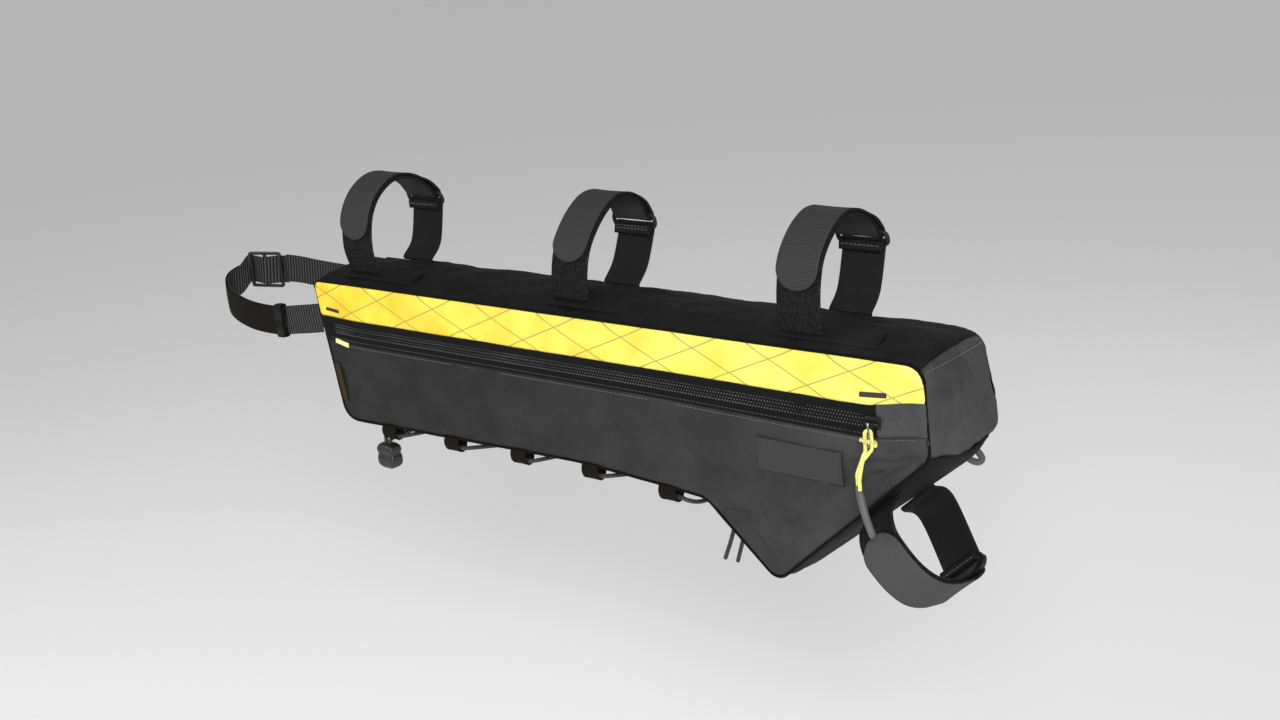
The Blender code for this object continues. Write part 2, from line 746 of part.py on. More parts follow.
def make_rear_loop():
    line = [Vector((-back * webbing_reach, y * half_width, z * webbing_width)) for back, y, z in webbing_line]
    path = smooth_line(line, 0.0050)
    headings = directions(path)
    runs = [0.0]
    for a, b in zip(path, path[1:]):
        runs.append(runs[-1] + (b - a).length)
    up = Vector((0, 0, 1))

    def spot(share):
        # place, heading and the way into the loop at a share of its length
        at = next(i for i, run in enumerate(runs) if run >= share * runs[-1])
        heading = headings[at]
        return path[at], heading, Vector((heading.y, -heading.x, 0)).normalized()

    # the webbing runs outside the buckle's end bars and inside its middle bar
    middle, heading, inside = spot(buckle_at)
    heading = Vector((heading.x, heading.y, 0)).normalized()
    lift = webbing_thickness / 2 + buckle_bar / 2 + seat_gap
    end_bar = buckle_length / 2 - buckle_bar
    weave = [middle + heading * ahead + inside * deep for ahead, deep in (
        (-end_bar - buckle_bar * 2, -lift), (-end_bar, -lift), (-buckle_bar, lift),
        (buckle_bar, lift), (end_bar, -lift), (end_bar + buckle_bar * 2, -lift))]
    reach = end_bar + buckle_bar * 3.5
    centre_run = buckle_at * runs[-1]
    before = [p for p, run in zip(path, runs) if run < centre_run - reach]
    after = [p for p, run in zip(path, runs) if run > centre_run + reach]
    half = up * webbing_width / 2
    rows = [[p - half, p + half] for p in before + weave + after]
    for row in (rows[0], rows[-1]):
        for corner in row:
            corner.x = rear_edge(corner.z) - rear_rise(corner.y) - 2 * seat_gap
    sheet("rear_webbing", rows, webbing_thickness, (0, -1, 0), webbing, 0.0)
    layer = webbing_thickness + seat_gap
    sleeve = [p + Vector((-h.y, h.x, 0)).normalized() * layer for p, h, run in zip(path, headings, runs)
              if sleeve_from * runs[-1] <= run <= sleeve_to * runs[-1]]
    band("rear_webbing_end", sleeve, webbing_width, webbing_thickness, webbing, up, (0, -1, 0))
    keeper_spot, along, inside = spot(keeper_at)
    centre = keeper_spot - inside * layer / 2
    inner = (2 * layer + seat_gap, webbing_width + 4 * seat_gap)
    keeper = []
    for x, z in rounded_rectangle(inner[0] + keeper_thickness, inner[1] + keeper_thickness,
                                  keeper_thickness, 2):
        on = centre + inside * x + up * z
        keeper.append([on - along * keeper_length / 2, on + along * keeper_length / 2])
    keeper.append([p.copy() for p in keeper[0]])
    ring_band("webbing_keeper", keeper, keeper_thickness, webbing)
    slot = end_bar - buckle_bar / 2
    tall = webbing_width + 6 * seat_gap
    holes = [[(x + side * (slot + buckle_bar) / 2, y)
              for x, y in rounded_rectangle(slot, tall, webbing_thickness / 2, 1)] for side in (-1, 1)]
    plate("rear_buckle", rounded_rectangle(buckle_length, tall + 2 * buckle_bar, buckle_bar, 3), buckle_bar,
          plastic, holes=holes, location=middle, rotation=(math.pi / 2, 0, math.atan2(heading.y, heading.x)))


def ring_band(name, rows, thickness, material):
    # a closed band: the last row repeats the first, and the two are welded
    mesh = bpy.data.meshes.new(name)
    shape = bmesh.new()
    corners_of = [[shape.verts.new(p) for p in row] for row in rows[:-1]]
    for i in range(len(corners_of)):
        a = corners_of[i]
        b = corners_of[(i + 1) % len(corners_of)]
        shape.faces.new((a[0], b[0], b[1], a[1]))
    bmesh.ops.recalc_face_normals(shape, faces=shape.faces)
    shape.to_mesh(mesh)
    shape.free()
    smooth_mesh(mesh)
    item = bpy.data.objects.new(name, mesh)
    place(item, material)
    shell = item.modifiers.new("thickness", "SOLIDIFY")
    shell.thickness = thickness
    shell.offset = 1.0
    shell.use_even_offset = True
    return item


def rear_rise(y):
    column = abs(y) / gusset_half
    return corners[6][5] * max(0.0, crown_share(min(1.0, column)))


def make_lace_loops():
    for word, side in (("right", -1), ("left", 1)):
        for number in range(loop_count):
            x = first_loop + loop_pitch * number
            y = half_width - lace_loop_inset
            top = bottom_height(x) - seat_gap
            line = [Vector((x, side * (y + out), top - lace_loop_drop * down)) for out, down in lace_loop_line]
            band(word + "_lace_loop_" + str(number + 1), smooth_line(line, 0.0030), lace_loop_width,
                 lace_loop_thickness, webbing, Vector((1, 0, 0)), (0, side, 0))


def lace_level(x):
    return bottom_height(x) - lace_loop_drop + lace_loop_thickness / 2 + lace_diameter / 2


def make_lace():
    # two strands from the cord lock that cross under the belly from loop to loop,
    # then hang free past the last loops
    side_y = half_width - lace_inset
    strands = ([], [])
    for strand, (first_side, dip) in zip(strands, ((-1, cross_dip_high), (1, cross_dip_low))):
        side = first_side
        for number in range(loop_count):
            x = first_loop + loop_pitch * number
            level = lace_level(x)
            for share in (-0.55, 0.0, 0.55):
                strand.append(Vector((x + lace_loop_width * share, side * side_y, level)))
            if number < loop_count - 1:
                middle = x + loop_pitch / 2
                strand.append(Vector((middle - loop_pitch * 0.18, side * side_y * 0.5, level - dip * 0.6)))
                strand.append(Vector((middle, 0.0, level - dip)))
                strand.append(Vector((middle + loop_pitch * 0.18, -side * side_y * 0.5, level - dip * 0.6)))
            side = -side
    near, far = strands
    level = lace_level(first_loop)
    beside = lace_diameter / 2 + seat_gap
    loop_edge = first_loop - lace_loop_width / 2
    lock_x = loop_edge - seat_gap
    lock_top = level - lock_gap
    near[0:1] = [Vector((loop_edge + x, -side_y, level + up)) for x, up in lock_rise]
    near.insert(0, Vector((lock_x - beside, -side_y, lock_top)))
    far[0:1] = [Vector((loop_edge + x, y, level + up)) for x, y, up in lock_cross]
    far.insert(0, Vector((lock_x + beside, -side_y, lock_top)))
    tube("lace_right", through_line(near, 2 * lace_loop_width), lace_diameter, lace_cord)
    tube("lace_left", through_line(far, 2 * lace_loop_width), lace_diameter, lace_cord)
    rounded_box("cord_lock", (lock_width, lock_depth, lock_length), lock_round, plastic,
                location=(lock_x, -side_y, lock_top - seat_gap - lock_length / 2))
    for word, strand, shape in (("right", near, right_tail_line), ("left", far, left_tail_line)):
        start = Vector(strand[-1])
        ahead = (start - strand[-2]).normalized()
        points = [start + ahead * seat_gap, start + ahead * lace_diameter * 0.6]
        for forward, across, down in shape:
            points.append(start + Vector((forward, across, -down)))
        tube("lace_tail_" + word, through_line(points, lace_loop_width), lace_diameter, lace_cord)


def make_trim():
    rows = []
    for j in range(3):
        z = -tip_height * patch_drop + patch_height * (0.5 - j / 2)
        row = []
        for i in range(5):
            x = patch_place + patch_length * (i / 4 - 0.5)
            row.append(Vector((x, -half_width - side_depth(x, z) - seat_gap * 3, z)))
        rows.append(row)
    sheet("side_patch", rows, patch_thickness, (0, -1, 0), patch_rubber, 1.0)
    rows = []
    for j in range(4):
        z = -tag_drop - tag_length * j / 3
        x = rear_edge(z) + tag_inset
        y = -half_width - side_depth(x + tag_width / 2, z) - seat_gap * 2
        rows.append([Vector((x, y, z)), Vector((x + tag_width, y, z))])
    sheet("side_tag", rows, cloth / 2, (0, -1, 0), tag_cloth, 1.0)


for item in list(bpy.data.objects):
    bpy.data.objects.remove(item)
bag = bpy.data.collections.new("bicycle_frame_bag")
bpy.context.scene.collection.children.link(bag)
datum = bpy.data.objects.new("bag_datum", None)
datum.location = (-strap_places[1], 0, -tube_axis_height)
bag.objects.link(datum)

# Colours and finishes
nylon = finish("black_nylon", "343434", 0.75)
yellow_cloth = finish("yellow_ripstop", "FFDD4A", 0.55)
coil = finish("black_zip_coil", "161616", 0.55)
hook_tape = finish("charcoal_hook_tape", "2E2E2E", 0.9)
webbing = finish("black_webbing", "1D1D1D", 0.7)
plastic = finish("black_plastic", "202020", 0.35)
black_metal = finish("black_coated_metal", "181818", 0.4, 0.6)
steel = finish("grey_steel", "8A857C", 0.35, 1.0)
yellow_cord = finish("yellow_cord", "F0EA7A", 0.6)
grey_rubber = finish("grey_rubber", "7A7A7A", 0.6)
lace_cord = finish("black_elastic_cord", "222222", 0.7)
patch_rubber = finish("charcoal_patch", "2A2A2A", 0.55)
tag_cloth = finish("ochre_ribbon", "9A7B2A", 0.7)

ring, crowns, arcs = outline_ring()
normals = ring_normals(ring)
lower_edge = list(reversed(ring[arcs["front_bottom"][0]:arcs["rear_bottom"][1] + 1]))
slope_low = Vector(corners[3][1:3])
slope_high = Vector(corners[2][1:3])
slope_reach = slope_strap_share + 0.65 * strap_width / (slope_high - slope_low).length
slope_crown = corners[3][5] + (corners[2][5] - corners[3][5]) * slope_reach
make_body()
make_strips()
for number, (x, shares) in enumerate(zip(strap_places, near_strap_lines), 1):
    make_strap("top_" + str(number), shares, top_anchor_seat, top_anchor_middle, ring_tilt, tab_share,
               strip_surface, (x, 0, 0))
slope_way = (slope_high - slope_low).normalized()
slope_spot = slope_low.lerp(slope_high, slope_strap_share)
slope_turn = math.atan2(slope_way.y, -slope_way.x)
make_strap("down_tube", slope_strap_line, slope_anchor_seat, slope_anchor_middle, slope_ring_tilt,
           slope_tab_share, slope_surface, (slope_spot.x, 0, slope_spot.y), (0, slope_turn, 0))
make_pull("right", -1, math.radians(-50))
make_pull("left", 1, math.radians(40))
make_rear_loop()
make_lace_loops()
make_lace()
make_trim()
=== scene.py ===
import math
import bpy
from mathutils import Matrix, Vector, noise


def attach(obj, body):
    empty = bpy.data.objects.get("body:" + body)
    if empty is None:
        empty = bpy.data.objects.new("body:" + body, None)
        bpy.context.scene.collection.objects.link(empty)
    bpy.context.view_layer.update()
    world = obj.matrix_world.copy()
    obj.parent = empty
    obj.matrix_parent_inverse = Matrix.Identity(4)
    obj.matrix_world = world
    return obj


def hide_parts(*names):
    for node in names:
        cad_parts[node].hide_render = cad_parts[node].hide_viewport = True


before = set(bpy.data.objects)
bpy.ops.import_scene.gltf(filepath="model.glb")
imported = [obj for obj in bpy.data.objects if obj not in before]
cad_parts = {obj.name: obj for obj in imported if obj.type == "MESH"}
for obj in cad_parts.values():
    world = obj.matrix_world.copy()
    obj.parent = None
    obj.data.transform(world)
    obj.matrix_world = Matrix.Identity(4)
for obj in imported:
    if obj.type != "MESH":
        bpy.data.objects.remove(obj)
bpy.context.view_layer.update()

# Lengths are metres, measured from the rear end of the bag's top edge, with forward +X,
# up +Z and the rider's right side at -Y; shift moves them to the shared frame.
shift = Vector((-0.2392, 0.0, -0.038))

bag = {
    "length": 0.500, "width": 0.070, "rearHeight": 0.103, "rearSetback": 0.016,
    "frontHeight": 0.051, "frontLean": 0.006, "tipHeight": 0.148, "sideBulge": 0.0030,
    "bulgeFade": 0.045, "frontFlare": 0.0048, "topCrown": 0.0100,
    "upperBand": 0.0245, "zipBottom": 0.0420,
}
halfWidth = bag["width"] / 2
bagMiddle = Vector((0.25, 0.0, -0.05))


# small helpers
def srgb(hexCode):
    values = []
    for start in (0, 2, 4):
        level = int(hexCode[start:start + 2], 16) / 255
        values.append(level / 12.92 if level <= 0.04045 else ((level + 0.055) / 1.055) ** 2.4)
    return (*values, 1.0)


def ease(value):
    value = min(1.0, max(0.0, value))
    return value * value * (3 - 2 * value)


def bump(value):
    return math.exp(-value * value)


def addNode(tree, kind, settings=None, values=None, links=None):
    node = tree.nodes.new(kind)
    for key, value in (settings or {}).items():
        setattr(node, key, value)
    for key, value in (values or {}).items():
        node.inputs[key].default_value = value
    for key, value in (links or {}).items():
        tree.links.new(value, node.inputs[key])
    return node


# camera, light and floor
cameraSpec = {
    "place": (0.7065, -0.7985, 0.2495), "azimuth": 40.1356, "elevation": 17.1724,
    "roll": -5.0005, "lens": 47.53,
}
azimuth = math.radians(cameraSpec["azimuth"])
elevation = math.radians(cameraSpec["elevation"])
roll = math.radians(cameraSpec["roll"])
backWay = Vector((math.sin(azimuth) * math.cos(elevation), -math.cos(azimuth) * math.cos(elevation),
                  math.sin(elevation)))
rightWay = Vector((math.cos(azimuth), math.sin(azimuth), 0.0))
upWay = backWay.cross(rightWay)
turnedRight = rightWay * math.cos(roll) + upWay * math.sin(roll)
turnedUp = upWay * math.cos(roll) - rightWay * math.sin(roll)
cameraData = bpy.data.cameras.new("photo_camera")
cameraData.lens = cameraSpec["lens"]
cameraData.sensor_width = 36.0
camera = bpy.data.objects.new("photo_camera", cameraData)
camera.matrix_world = Matrix((
    (turnedRight.x, turnedUp.x, backWay.x, cameraSpec["place"][0]),
    (turnedRight.y, turnedUp.y, backWay.y, cameraSpec["place"][1]),
    (turnedRight.z, turnedUp.z, backWay.z, cameraSpec["place"][2]),
    (0, 0, 0, 1)))
bpy.context.scene.collection.objects.link(camera)
bpy.context.scene.camera = camera

studioSpec = {"sky": 0.46, "floorHeight": -0.5, "floorReach": 6.0}
world = bpy.data.worlds.new("soft_studio")
world.use_nodes = True
world.node_tree.nodes["Background"].inputs["Color"].default_value = (1.0, 1.0, 1.0, 1.0)
world.node_tree.nodes["Background"].inputs["Strength"].default_value = studioSpec["sky"]
bpy.context.scene.world = world
bpy.context.scene.view_settings.view_transform = "Standard"

# name, place, aimed at, width, height, watts
lights = (
    ("key_panel", (1.10, -1.30, 0.75), (0.09, 0.0, -0.06), 0.7, 0.7, 29.0),
    ("rear_fill", (-0.95, -1.10, 0.55), (0.0, 0.0, -0.06), 1.0, 0.8, 7.0),
    ("back_rim", (0.10, 1.30, 0.70), (0.0, 0.0, 0.0), 1.2, 0.6, 2.0),
)
for name, place, aim, width, height, watts in lights:
    lightData = bpy.data.lights.new(name, "AREA")
    lightData.shape = "RECTANGLE"
    lightData.size = width
    lightData.size_y = height
    lightData.energy = watts
    light = bpy.data.objects.new(name, lightData)
    light.location = place
    light.rotation_euler = (Vector(aim) - Vector(place)).to_track_quat("-Z", "Y").to_euler()
    bpy.context.scene.collection.objects.link(light)

floorMesh = bpy.data.meshes.new("pale_floor")
wide, low = studioSpec["floorReach"], studioSpec["floorHeight"]
floorMesh.from_pydata([(-wide, -wide, low), (wide, -wide, low), (wide, wide, low), (-wide, wide, low)], [],
                      [(0, 1, 2, 3)])
floor = bpy.data.objects.new("pale_floor", floorMesh)
floorPaint = bpy.data.materials.new("matte_pale_floor")
floorPaint.use_nodes = True
floorPaint.node_tree.nodes["Principled BSDF"].inputs["Base Color"].default_value = srgb("FCFCFC")
floorPaint.node_tree.nodes["Principled BSDF"].inputs["Roughness"].default_value = 0.9
floorMesh.materials.append(floorPaint)
bpy.context.scene.collection.objects.link(floor)
print("camera, light and floor")


# materials
def newMaterial(name, hexCode, roughness, metallic=0.0, sheen=0.0, specular=0.5):
    material = bpy.data.materials.new(name)
    material.use_nodes = True
    tree = material.node_tree
    shader = tree.nodes["Principled BSDF"]
    shader.inputs["Base Color"].default_value = srgb(hexCode)
    shader.inputs["Roughness"].default_value = roughness
    shader.inputs["Metallic"].default_value = metallic
    shader.inputs["IOR"].default_value = 1.5
    shader.inputs["Specular IOR Level"].default_value = specular
    shader.inputs["Sheen Weight"].default_value = sheen
    shader.inputs["Sheen Roughness"].default_value = 0.5
    material.diffuse_color = srgb(hexCode)
    return material, tree, shader


def mottle(tree, source, darkHex, lightHex, scale, detail=4.0):
    # broad uneven colour: on the packcloth, dye and handling left on the cloth; on the ripstop, painted
    # highlights and painted shade on the film
    cloud = addNode(tree, "ShaderNodeTexNoise", {}, {"Scale": scale, "Detail": detail, "Roughness": 0.6},
                    {"Vector": source})
    ramp = addNode(tree, "ShaderNodeValToRGB", {}, {}, {"Fac": cloud.outputs["Fac"]})
    ramp.color_ramp.elements[0].position = 0.35
    ramp.color_ramp.elements[0].color = srgb(darkHex)
    ramp.color_ramp.elements[1].position = 0.68
    ramp.color_ramp.elements[1].color = srgb(lightHex)
    return ramp.outputs["Color"]


def layRelief(tree, shader, *reliefs):
    # heights with their depth in metres and strength, from broad to fine, each laid over the last
    under = {}
    for height, distance, strength in reliefs:
        relief = addNode(tree, "ShaderNodeBump", {}, {"Distance": distance, "Strength": strength},
                         {"Height": height, **under})
        under = {"Normal": relief.outputs["Normal"]}
    tree.links.new(under["Normal"], shader.inputs["Normal"])


# a wave texture of scale 1 repeats every 2 pi / 20 metres
waveScale = 0.314


def threads(tree, source, pitch, turn=0.0):
    # crossing threads: the higher of two sets of fine waves, pitch in metres
    placed = addNode(tree, "ShaderNodeMapping", {}, {"Rotation": (0.0, 0.0, turn)}, {"Vector": source})
    waves = []
    for way in ("X", "Y"):
        waves.append(addNode(tree, "ShaderNodeTexWave",
                             {"wave_type": "BANDS", "bands_direction": way, "wave_profile": "SIN"},
                             {"Scale": waveScale / pitch, "Distortion": 0.4, "Detail": 1.0},
                             {"Vector": placed.outputs["Vector"]}).outputs["Fac"])
    return addNode(tree, "ShaderNodeMath", {"operation": "MAXIMUM"}, {},
                   {0: waves[0], 1: waves[1]}).outputs["Value"]


# coated packcloth: plain weave under a thin coat; the eye sees a dull black with soft creases
def makePackcloth(name, darkHex, lightHex, roughness):
    material, tree, shader = newMaterial(name, darkHex, roughness, 0.0, 0.0, 0.14)
    uv = addNode(tree, "ShaderNodeUVMap").outputs["UV"]
    place = addNode(tree, "ShaderNodeTexCoord").outputs["Object"]
    parts = addNode(tree, "ShaderNodeSeparateXYZ", {}, {}, {"Vector": place})
    # painted light: the colour is scaled up from the rear to the front, so the front, where the key light
    # falls, is painted paler
    along = addNode(tree, "ShaderNodeMapRange", {},
                    {"From Min": -0.10, "From Max": 0.24, "To Min": 0.80, "To Max": 1.45},
                    {"Value": parts.outputs["X"]})
    dye = mottle(tree, place, darkHex, lightHex, 30.0, 6.0)
    frontLitDye = addNode(tree, "ShaderNodeVectorMath", {"operation": "SCALE"}, {},
                   {"Vector": dye, "Scale": along.outputs["Result"]})
    tree.links.new(frontLitDye.outputs["Vector"], shader.inputs["Base Color"])
    creases = addNode(tree, "ShaderNodeTexNoise", {}, {"Scale": 210.0, "Detail": 5.0, "Roughness": 0.6},
                      {"Vector": place})
    broad = addNode(tree, "ShaderNodeTexNoise", {},
                    {"Scale": 34.0, "Detail": 2.0, "Roughness": 0.5, "Distortion": 1.2}, {"Vector": place})
    layRelief(tree, shader, (broad.outputs["Fac"], 0.0045, 0.8), (creases.outputs["Fac"], 0.00055, 0.6),
              (threads(tree, uv, 0.00055), 0.00010, 0.6))
    return material


# name, dark and light colour, roughness
packcloth = makePackcloth("coated_packcloth", "262626", "323232", 0.58)
# a darker copy of the same packcloth: painted shade on the top panel, the down-tube slope and the strips
shadedTopCloth = makePackcloth("coated_packcloth_top_painted_shade", "0A0A0A", "141414", 0.74)
# a lighter copy of the same packcloth: painted light on the front panel and the zip garage
litFrontCloth = makePackcloth("coated_packcloth_front_painted_light", "2C2C2C", "3A3A3A", 0.60)


# laminated ripstop: smooth film over diagonal reinforcing threads that show as a grey diamond net
netSpec = {"slant": 22.6, "pitch": 0.0553, "rearCrossing": 0.0409, "upperCrossing": 0.0073, "ink": 0.72}


def makeRipstop():
    material, tree, shader = newMaterial("laminated_ripstop_yellow", "FFDD3C", 0.42, 0.0, 0.0, 0.3)
    uv = addNode(tree, "ShaderNodeUVMap").outputs["UV"]
    place = addNode(tree, "ShaderNodeTexCoord").outputs["Object"]
    parts = addNode(tree, "ShaderNodeSeparateXYZ", {}, {}, {"Vector": uv})
    forward = addNode(tree, "ShaderNodeMath", {"operation": "SUBTRACT"}, {1: netSpec["rearCrossing"]},
                      {0: parts.outputs["X"]}).outputs["Value"]
    height = addNode(tree, "ShaderNodeMath", {"operation": "ADD"}, {1: netSpec["upperCrossing"]},
                     {0: parts.outputs["Y"]}).outputs["Value"]
    lines = []
    for sign in (1.0, -1.0):
        slope = sign / math.tan(math.radians(netSpec["slant"]))
        value = addNode(tree, "ShaderNodeMath", {"operation": "MULTIPLY_ADD"}, {1: slope},
                        {0: height, 2: forward}).outputs["Value"]
        for operation, by in (("MULTIPLY", 1 / netSpec["pitch"]), ("FRACT", None), ("SUBTRACT", 0.5),
                              ("ABSOLUTE", None)):
            value = addNode(tree, "ShaderNodeMath", {"operation": operation}, {} if by is None else {1: by},
                            {0: value}).outputs["Value"]
        lines.append(addNode(tree, "ShaderNodeMapRange", {"interpolation_type": "SMOOTHSTEP"},
                             {"From Min": 0.008, "From Max": 0.027, "To Min": 1.0, "To Max": 0.0},
                             {"Value": value}).outputs["Result"])
    net = addNode(tree, "ShaderNodeMath", {"operation": "MAXIMUM"}, {},
                  {0: lines[0], 1: lines[1]}).outputs["Value"]
    # painted light: the yellow is painted deeper orange at the rear and paler at the front, where the key
    # light falls
    along = addNode(tree, "ShaderNodeMapRange", {}, {"From Min": 0.0, "From Max": 0.5}, {"Value": forward})
    frontLitTone = addNode(tree, "ShaderNodeValToRGB", {}, {}, {"Fac": along.outputs["Result"]})
    frontLitTone.color_ramp.elements[0].color = srgb("ECCB3C")
    frontLitTone.color_ramp.elements[1].color = srgb("EADD74")
    # painted highlights and shade: near-white and orange patches laid over the film in soft light, standing
    # in for the light and shade on each puffed diamond
    highlightPatches = mottle(tree, place, "C28A34", "FFFBE6", 30.0, 3.0)
    mixed = addNode(tree, "ShaderNodeMix", {"data_type": "RGBA", "blend_type": "SOFT_LIGHT"},
                    {"Factor": 0.55}, {6: frontLitTone.outputs["Color"], 7: highlightPatches})
    inked = addNode(tree, "ShaderNodeMix", {"data_type": "RGBA"}, {7: srgb("7C7748")},
                    {6: mixed.outputs[2]})
    thin = addNode(tree, "ShaderNodeMath", {"operation": "MULTIPLY"}, {1: netSpec["ink"]}, {0: net})
    tree.links.new(thin.outputs["Value"], inked.inputs[0])
    tree.links.new(inked.outputs[2], shader.inputs["Base Color"])
    grain = addNode(tree, "ShaderNodeTexNoise", {}, {"Scale": 160.0, "Detail": 4.0}, {"Vector": place})
    layRelief(tree, shader, (grain.outputs["Fac"], 0.0004, 0.5), (net, 0.00018, 0.8),
              (threads(tree, uv, 0.0006), 0.00006, 0.5))
    return material


ripstop = makeRipstop()


# woven tape: close ribs along or across the band, in dull nylon yarn
def makeTape(name, darkHex, lightHex, pitch, depth, way, roughness=0.7, slant=0.0):
    material, tree, shader = newMaterial(name, darkHex, roughness, 0.0, 0.0, 0.12)
    uv = addNode(tree, "ShaderNodeUVMap").outputs["UV"]
    placed = addNode(tree, "ShaderNodeMapping", {}, {"Rotation": (0.0, 0.0, slant)}, {"Vector": uv})
    ribs = addNode(tree, "ShaderNodeTexWave",
                   {"wave_type": "BANDS", "bands_direction": way, "wave_profile": "SIN"},
                   {"Scale": waveScale / pitch, "Distortion": 0.6, "Detail": 2.0, "Detail Scale": 2.0},
                   {"Vector": placed.outputs["Vector"]})
    ramp = addNode(tree, "ShaderNodeValToRGB", {}, {}, {"Fac": ribs.outputs["Fac"]})
    ramp.color_ramp.elements[0].position = 0.15
    ramp.color_ramp.elements[0].color = srgb(darkHex)
    ramp.color_ramp.elements[1].position = 0.9
    ramp.color_ramp.elements[1].color = srgb(lightHex)
    tree.links.new(ramp.outputs["Color"], shader.inputs["Base Color"])
    yarn = addNode(tree, "ShaderNodeTexNoise", {}, {"Scale": 2600.0, "Detail": 2.0}, {"Vector": uv})
    layRelief(tree, shader, (ribs.outputs["Fac"], depth, 0.9), (yarn.outputs["Fac"], 0.00012, 0.6))
    return material


# name, dark and light colour, rib pitch and depth, way the ribs follow each other, roughness, slant
ribbedWebbing = makeTape("ribbed_nylon_webbing", "101010", "464646", 0.0026, 0.00045, "X", 0.7, 0.10)
smoothWebbing = makeTape("smooth_nylon_webbing", "0C0B09", "151310", 0.0011, 0.00012, "Y", 0.85)
anchorTape = makeTape("woven_anchor_tape", "101010", "202020", 0.0012, 0.00012, "X")
zipTape = makeTape("woven_zip_tape", "080808", "121212", 0.0009, 0.00010, "X", 0.75)


# hook tape's loop face: a nap of fine hooks that scatters light and hides the weave
def makeNap(name, darkHex, lightHex, depth):
    material, tree, shader = newMaterial(name, darkHex, 0.95, 0.0, 0.0, 0.08)
    uv = addNode(tree, "ShaderNodeUVMap").outputs["UV"]
    columns = addNode(tree, "ShaderNodeTexWave", {"wave_type": "BANDS", "bands_direction": "Y"},
                      {"Scale": waveScale / 0.0019, "Distortion": 3.0, "Detail": 3.0, "Detail Scale": 2.5},
                      {"Vector": uv})
    tufts = addNode(tree, "ShaderNodeTexVoronoi", {}, {"Scale": 900.0, "Randomness": 1.0}, {"Vector": uv})
    clumps = addNode(tree, "ShaderNodeTexNoise", {}, {"Scale": 420.0, "Detail": 5.0, "Roughness": 0.7},
                     {"Vector": uv})
    ramp = addNode(tree, "ShaderNodeValToRGB", {}, {}, {"Fac": clumps.outputs["Fac"]})
    ramp.color_ramp.elements[0].position = 0.3
    ramp.color_ramp.elements[0].color = srgb(darkHex)
    ramp.color_ramp.elements[1].position = 0.7
    ramp.color_ramp.elements[1].color = srgb(lightHex)
    tree.links.new(ramp.outputs["Color"], shader.inputs["Base Color"])
    layRelief(tree, shader, (clumps.outputs["Fac"], depth, 0.9),
              (tufts.outputs["Distance"], depth * 0.6, 0.8), (columns.outputs["Fac"], depth * 1.2, 0.9))
    return material


loopNap = makeNap("loop_tape_nap", "0E0E0E", "2A2A2A", 0.0007)
tapeBack = makeTape("hook_tape_back", "2B2B2B", "3C3C3C", 0.0011, 0.00010, "X")
# a lighter copy of the hook tape's back: painted light on the down-tube strap
litTapeBack = makeTape("hook_tape_back_painted_light", "3A3A3A", "4C4C4C", 0.0011, 0.00010, "X")


# moulded, cast and stamped pieces: one plain finish with fine tool marks
def makeSolid(name, hexCode, roughness, metallic=0.0, grain=0.00004, scale=900.0):
    material, tree, shader = newMaterial(name, hexCode, roughness, metallic)
    place = addNode(tree, "ShaderNodeTexCoord").outputs["Object"]
    marks = addNode(tree, "ShaderNodeTexNoise", {}, {"Scale": scale, "Detail": 4.0}, {"Vector": place})
    rough = addNode(tree, "ShaderNodeMapRange", {}, {"To Min": roughness - 0.08, "To Max": roughness + 0.10},
                    {"Value": marks.outputs["Fac"]})
    tree.links.new(rough.outputs["Result"], shader.inputs["Roughness"])
    layRelief(tree, shader, (marks.outputs["Fac"], grain, 0.7))
    return material


# name, colour, roughness, metal, depth of the tool marks, their scale
acetal = makeSolid("moulded_acetal", "1B1B1B", 0.38)
ringAcetal = makeSolid("moulded_acetal_matte", "0E0E0E", 0.72)
# light grey on black nylon coil: a painted highlight on each turn
coilHighlight = makeSolid("coil_turn_painted_highlight", "5E5E5E", 0.30)
castMetal = makeSolid("cast_metal_black_coat", "151515", 0.42, 0.4)
tabSteel = makeSolid("stamped_steel", "8F8A80", 0.30, 1.0, 0.00002)
gripRubber = makeSolid("moulded_grip_rubber", "525252", 0.55, 0.0, 0.00006, 500.0)
patchRubber = makeSolid("stitched_rubber_patch", "242424", 0.55, 0.0, 0.00010, 700.0)


# braided cord: strands that cross round a core, drawn from the run along and round it
def makeBraid(name, darkHex, lightHex, pitch, roughness):
    material, tree, shader = newMaterial(name, lightHex, roughness, 0.0, 0.1)
    uv = addNode(tree, "ShaderNodeUVMap").outputs["UV"]
    parts = addNode(tree, "ShaderNodeSeparateXYZ", {}, {}, {"Vector": uv})
    strands = []
    for sign in (1.0, -1.0):
        run = addNode(tree, "ShaderNodeMath", {"operation": "MULTIPLY"}, {1: 2 * math.pi / pitch},
                      {0: parts.outputs["X"]})
        wound = addNode(tree, "ShaderNodeMath", {"operation": "MULTIPLY_ADD"}, {1: sign * 2 * math.pi * 5},
                        {0: parts.outputs["Y"], 2: run.outputs["Value"]})
        strands.append(addNode(tree, "ShaderNodeMath", {"operation": "SINE"}, {},
                               {0: wound.outputs["Value"]}).outputs["Value"])
    high = addNode(tree, "ShaderNodeMath", {"operation": "MAXIMUM"}, {}, {0: strands[0], 1: strands[1]})
    level = addNode(tree, "ShaderNodeMapRange", {}, {"From Min": -0.8, "From Max": 1.0},
                    {"Value": high.outputs["Value"]})
    ramp = addNode(tree, "ShaderNodeValToRGB", {}, {}, {"Fac": level.outputs["Result"]})
    ramp.color_ramp.elements[0].color = srgb(darkHex)
    ramp.color_ramp.elements[1].position = 0.6
    ramp.color_ramp.elements[1].color = srgb(lightHex)
    tree.links.new(ramp.outputs["Color"], shader.inputs["Base Color"])
    layRelief(tree, shader, (level.outputs["Result"], 0.00025, 0.8))
    return material


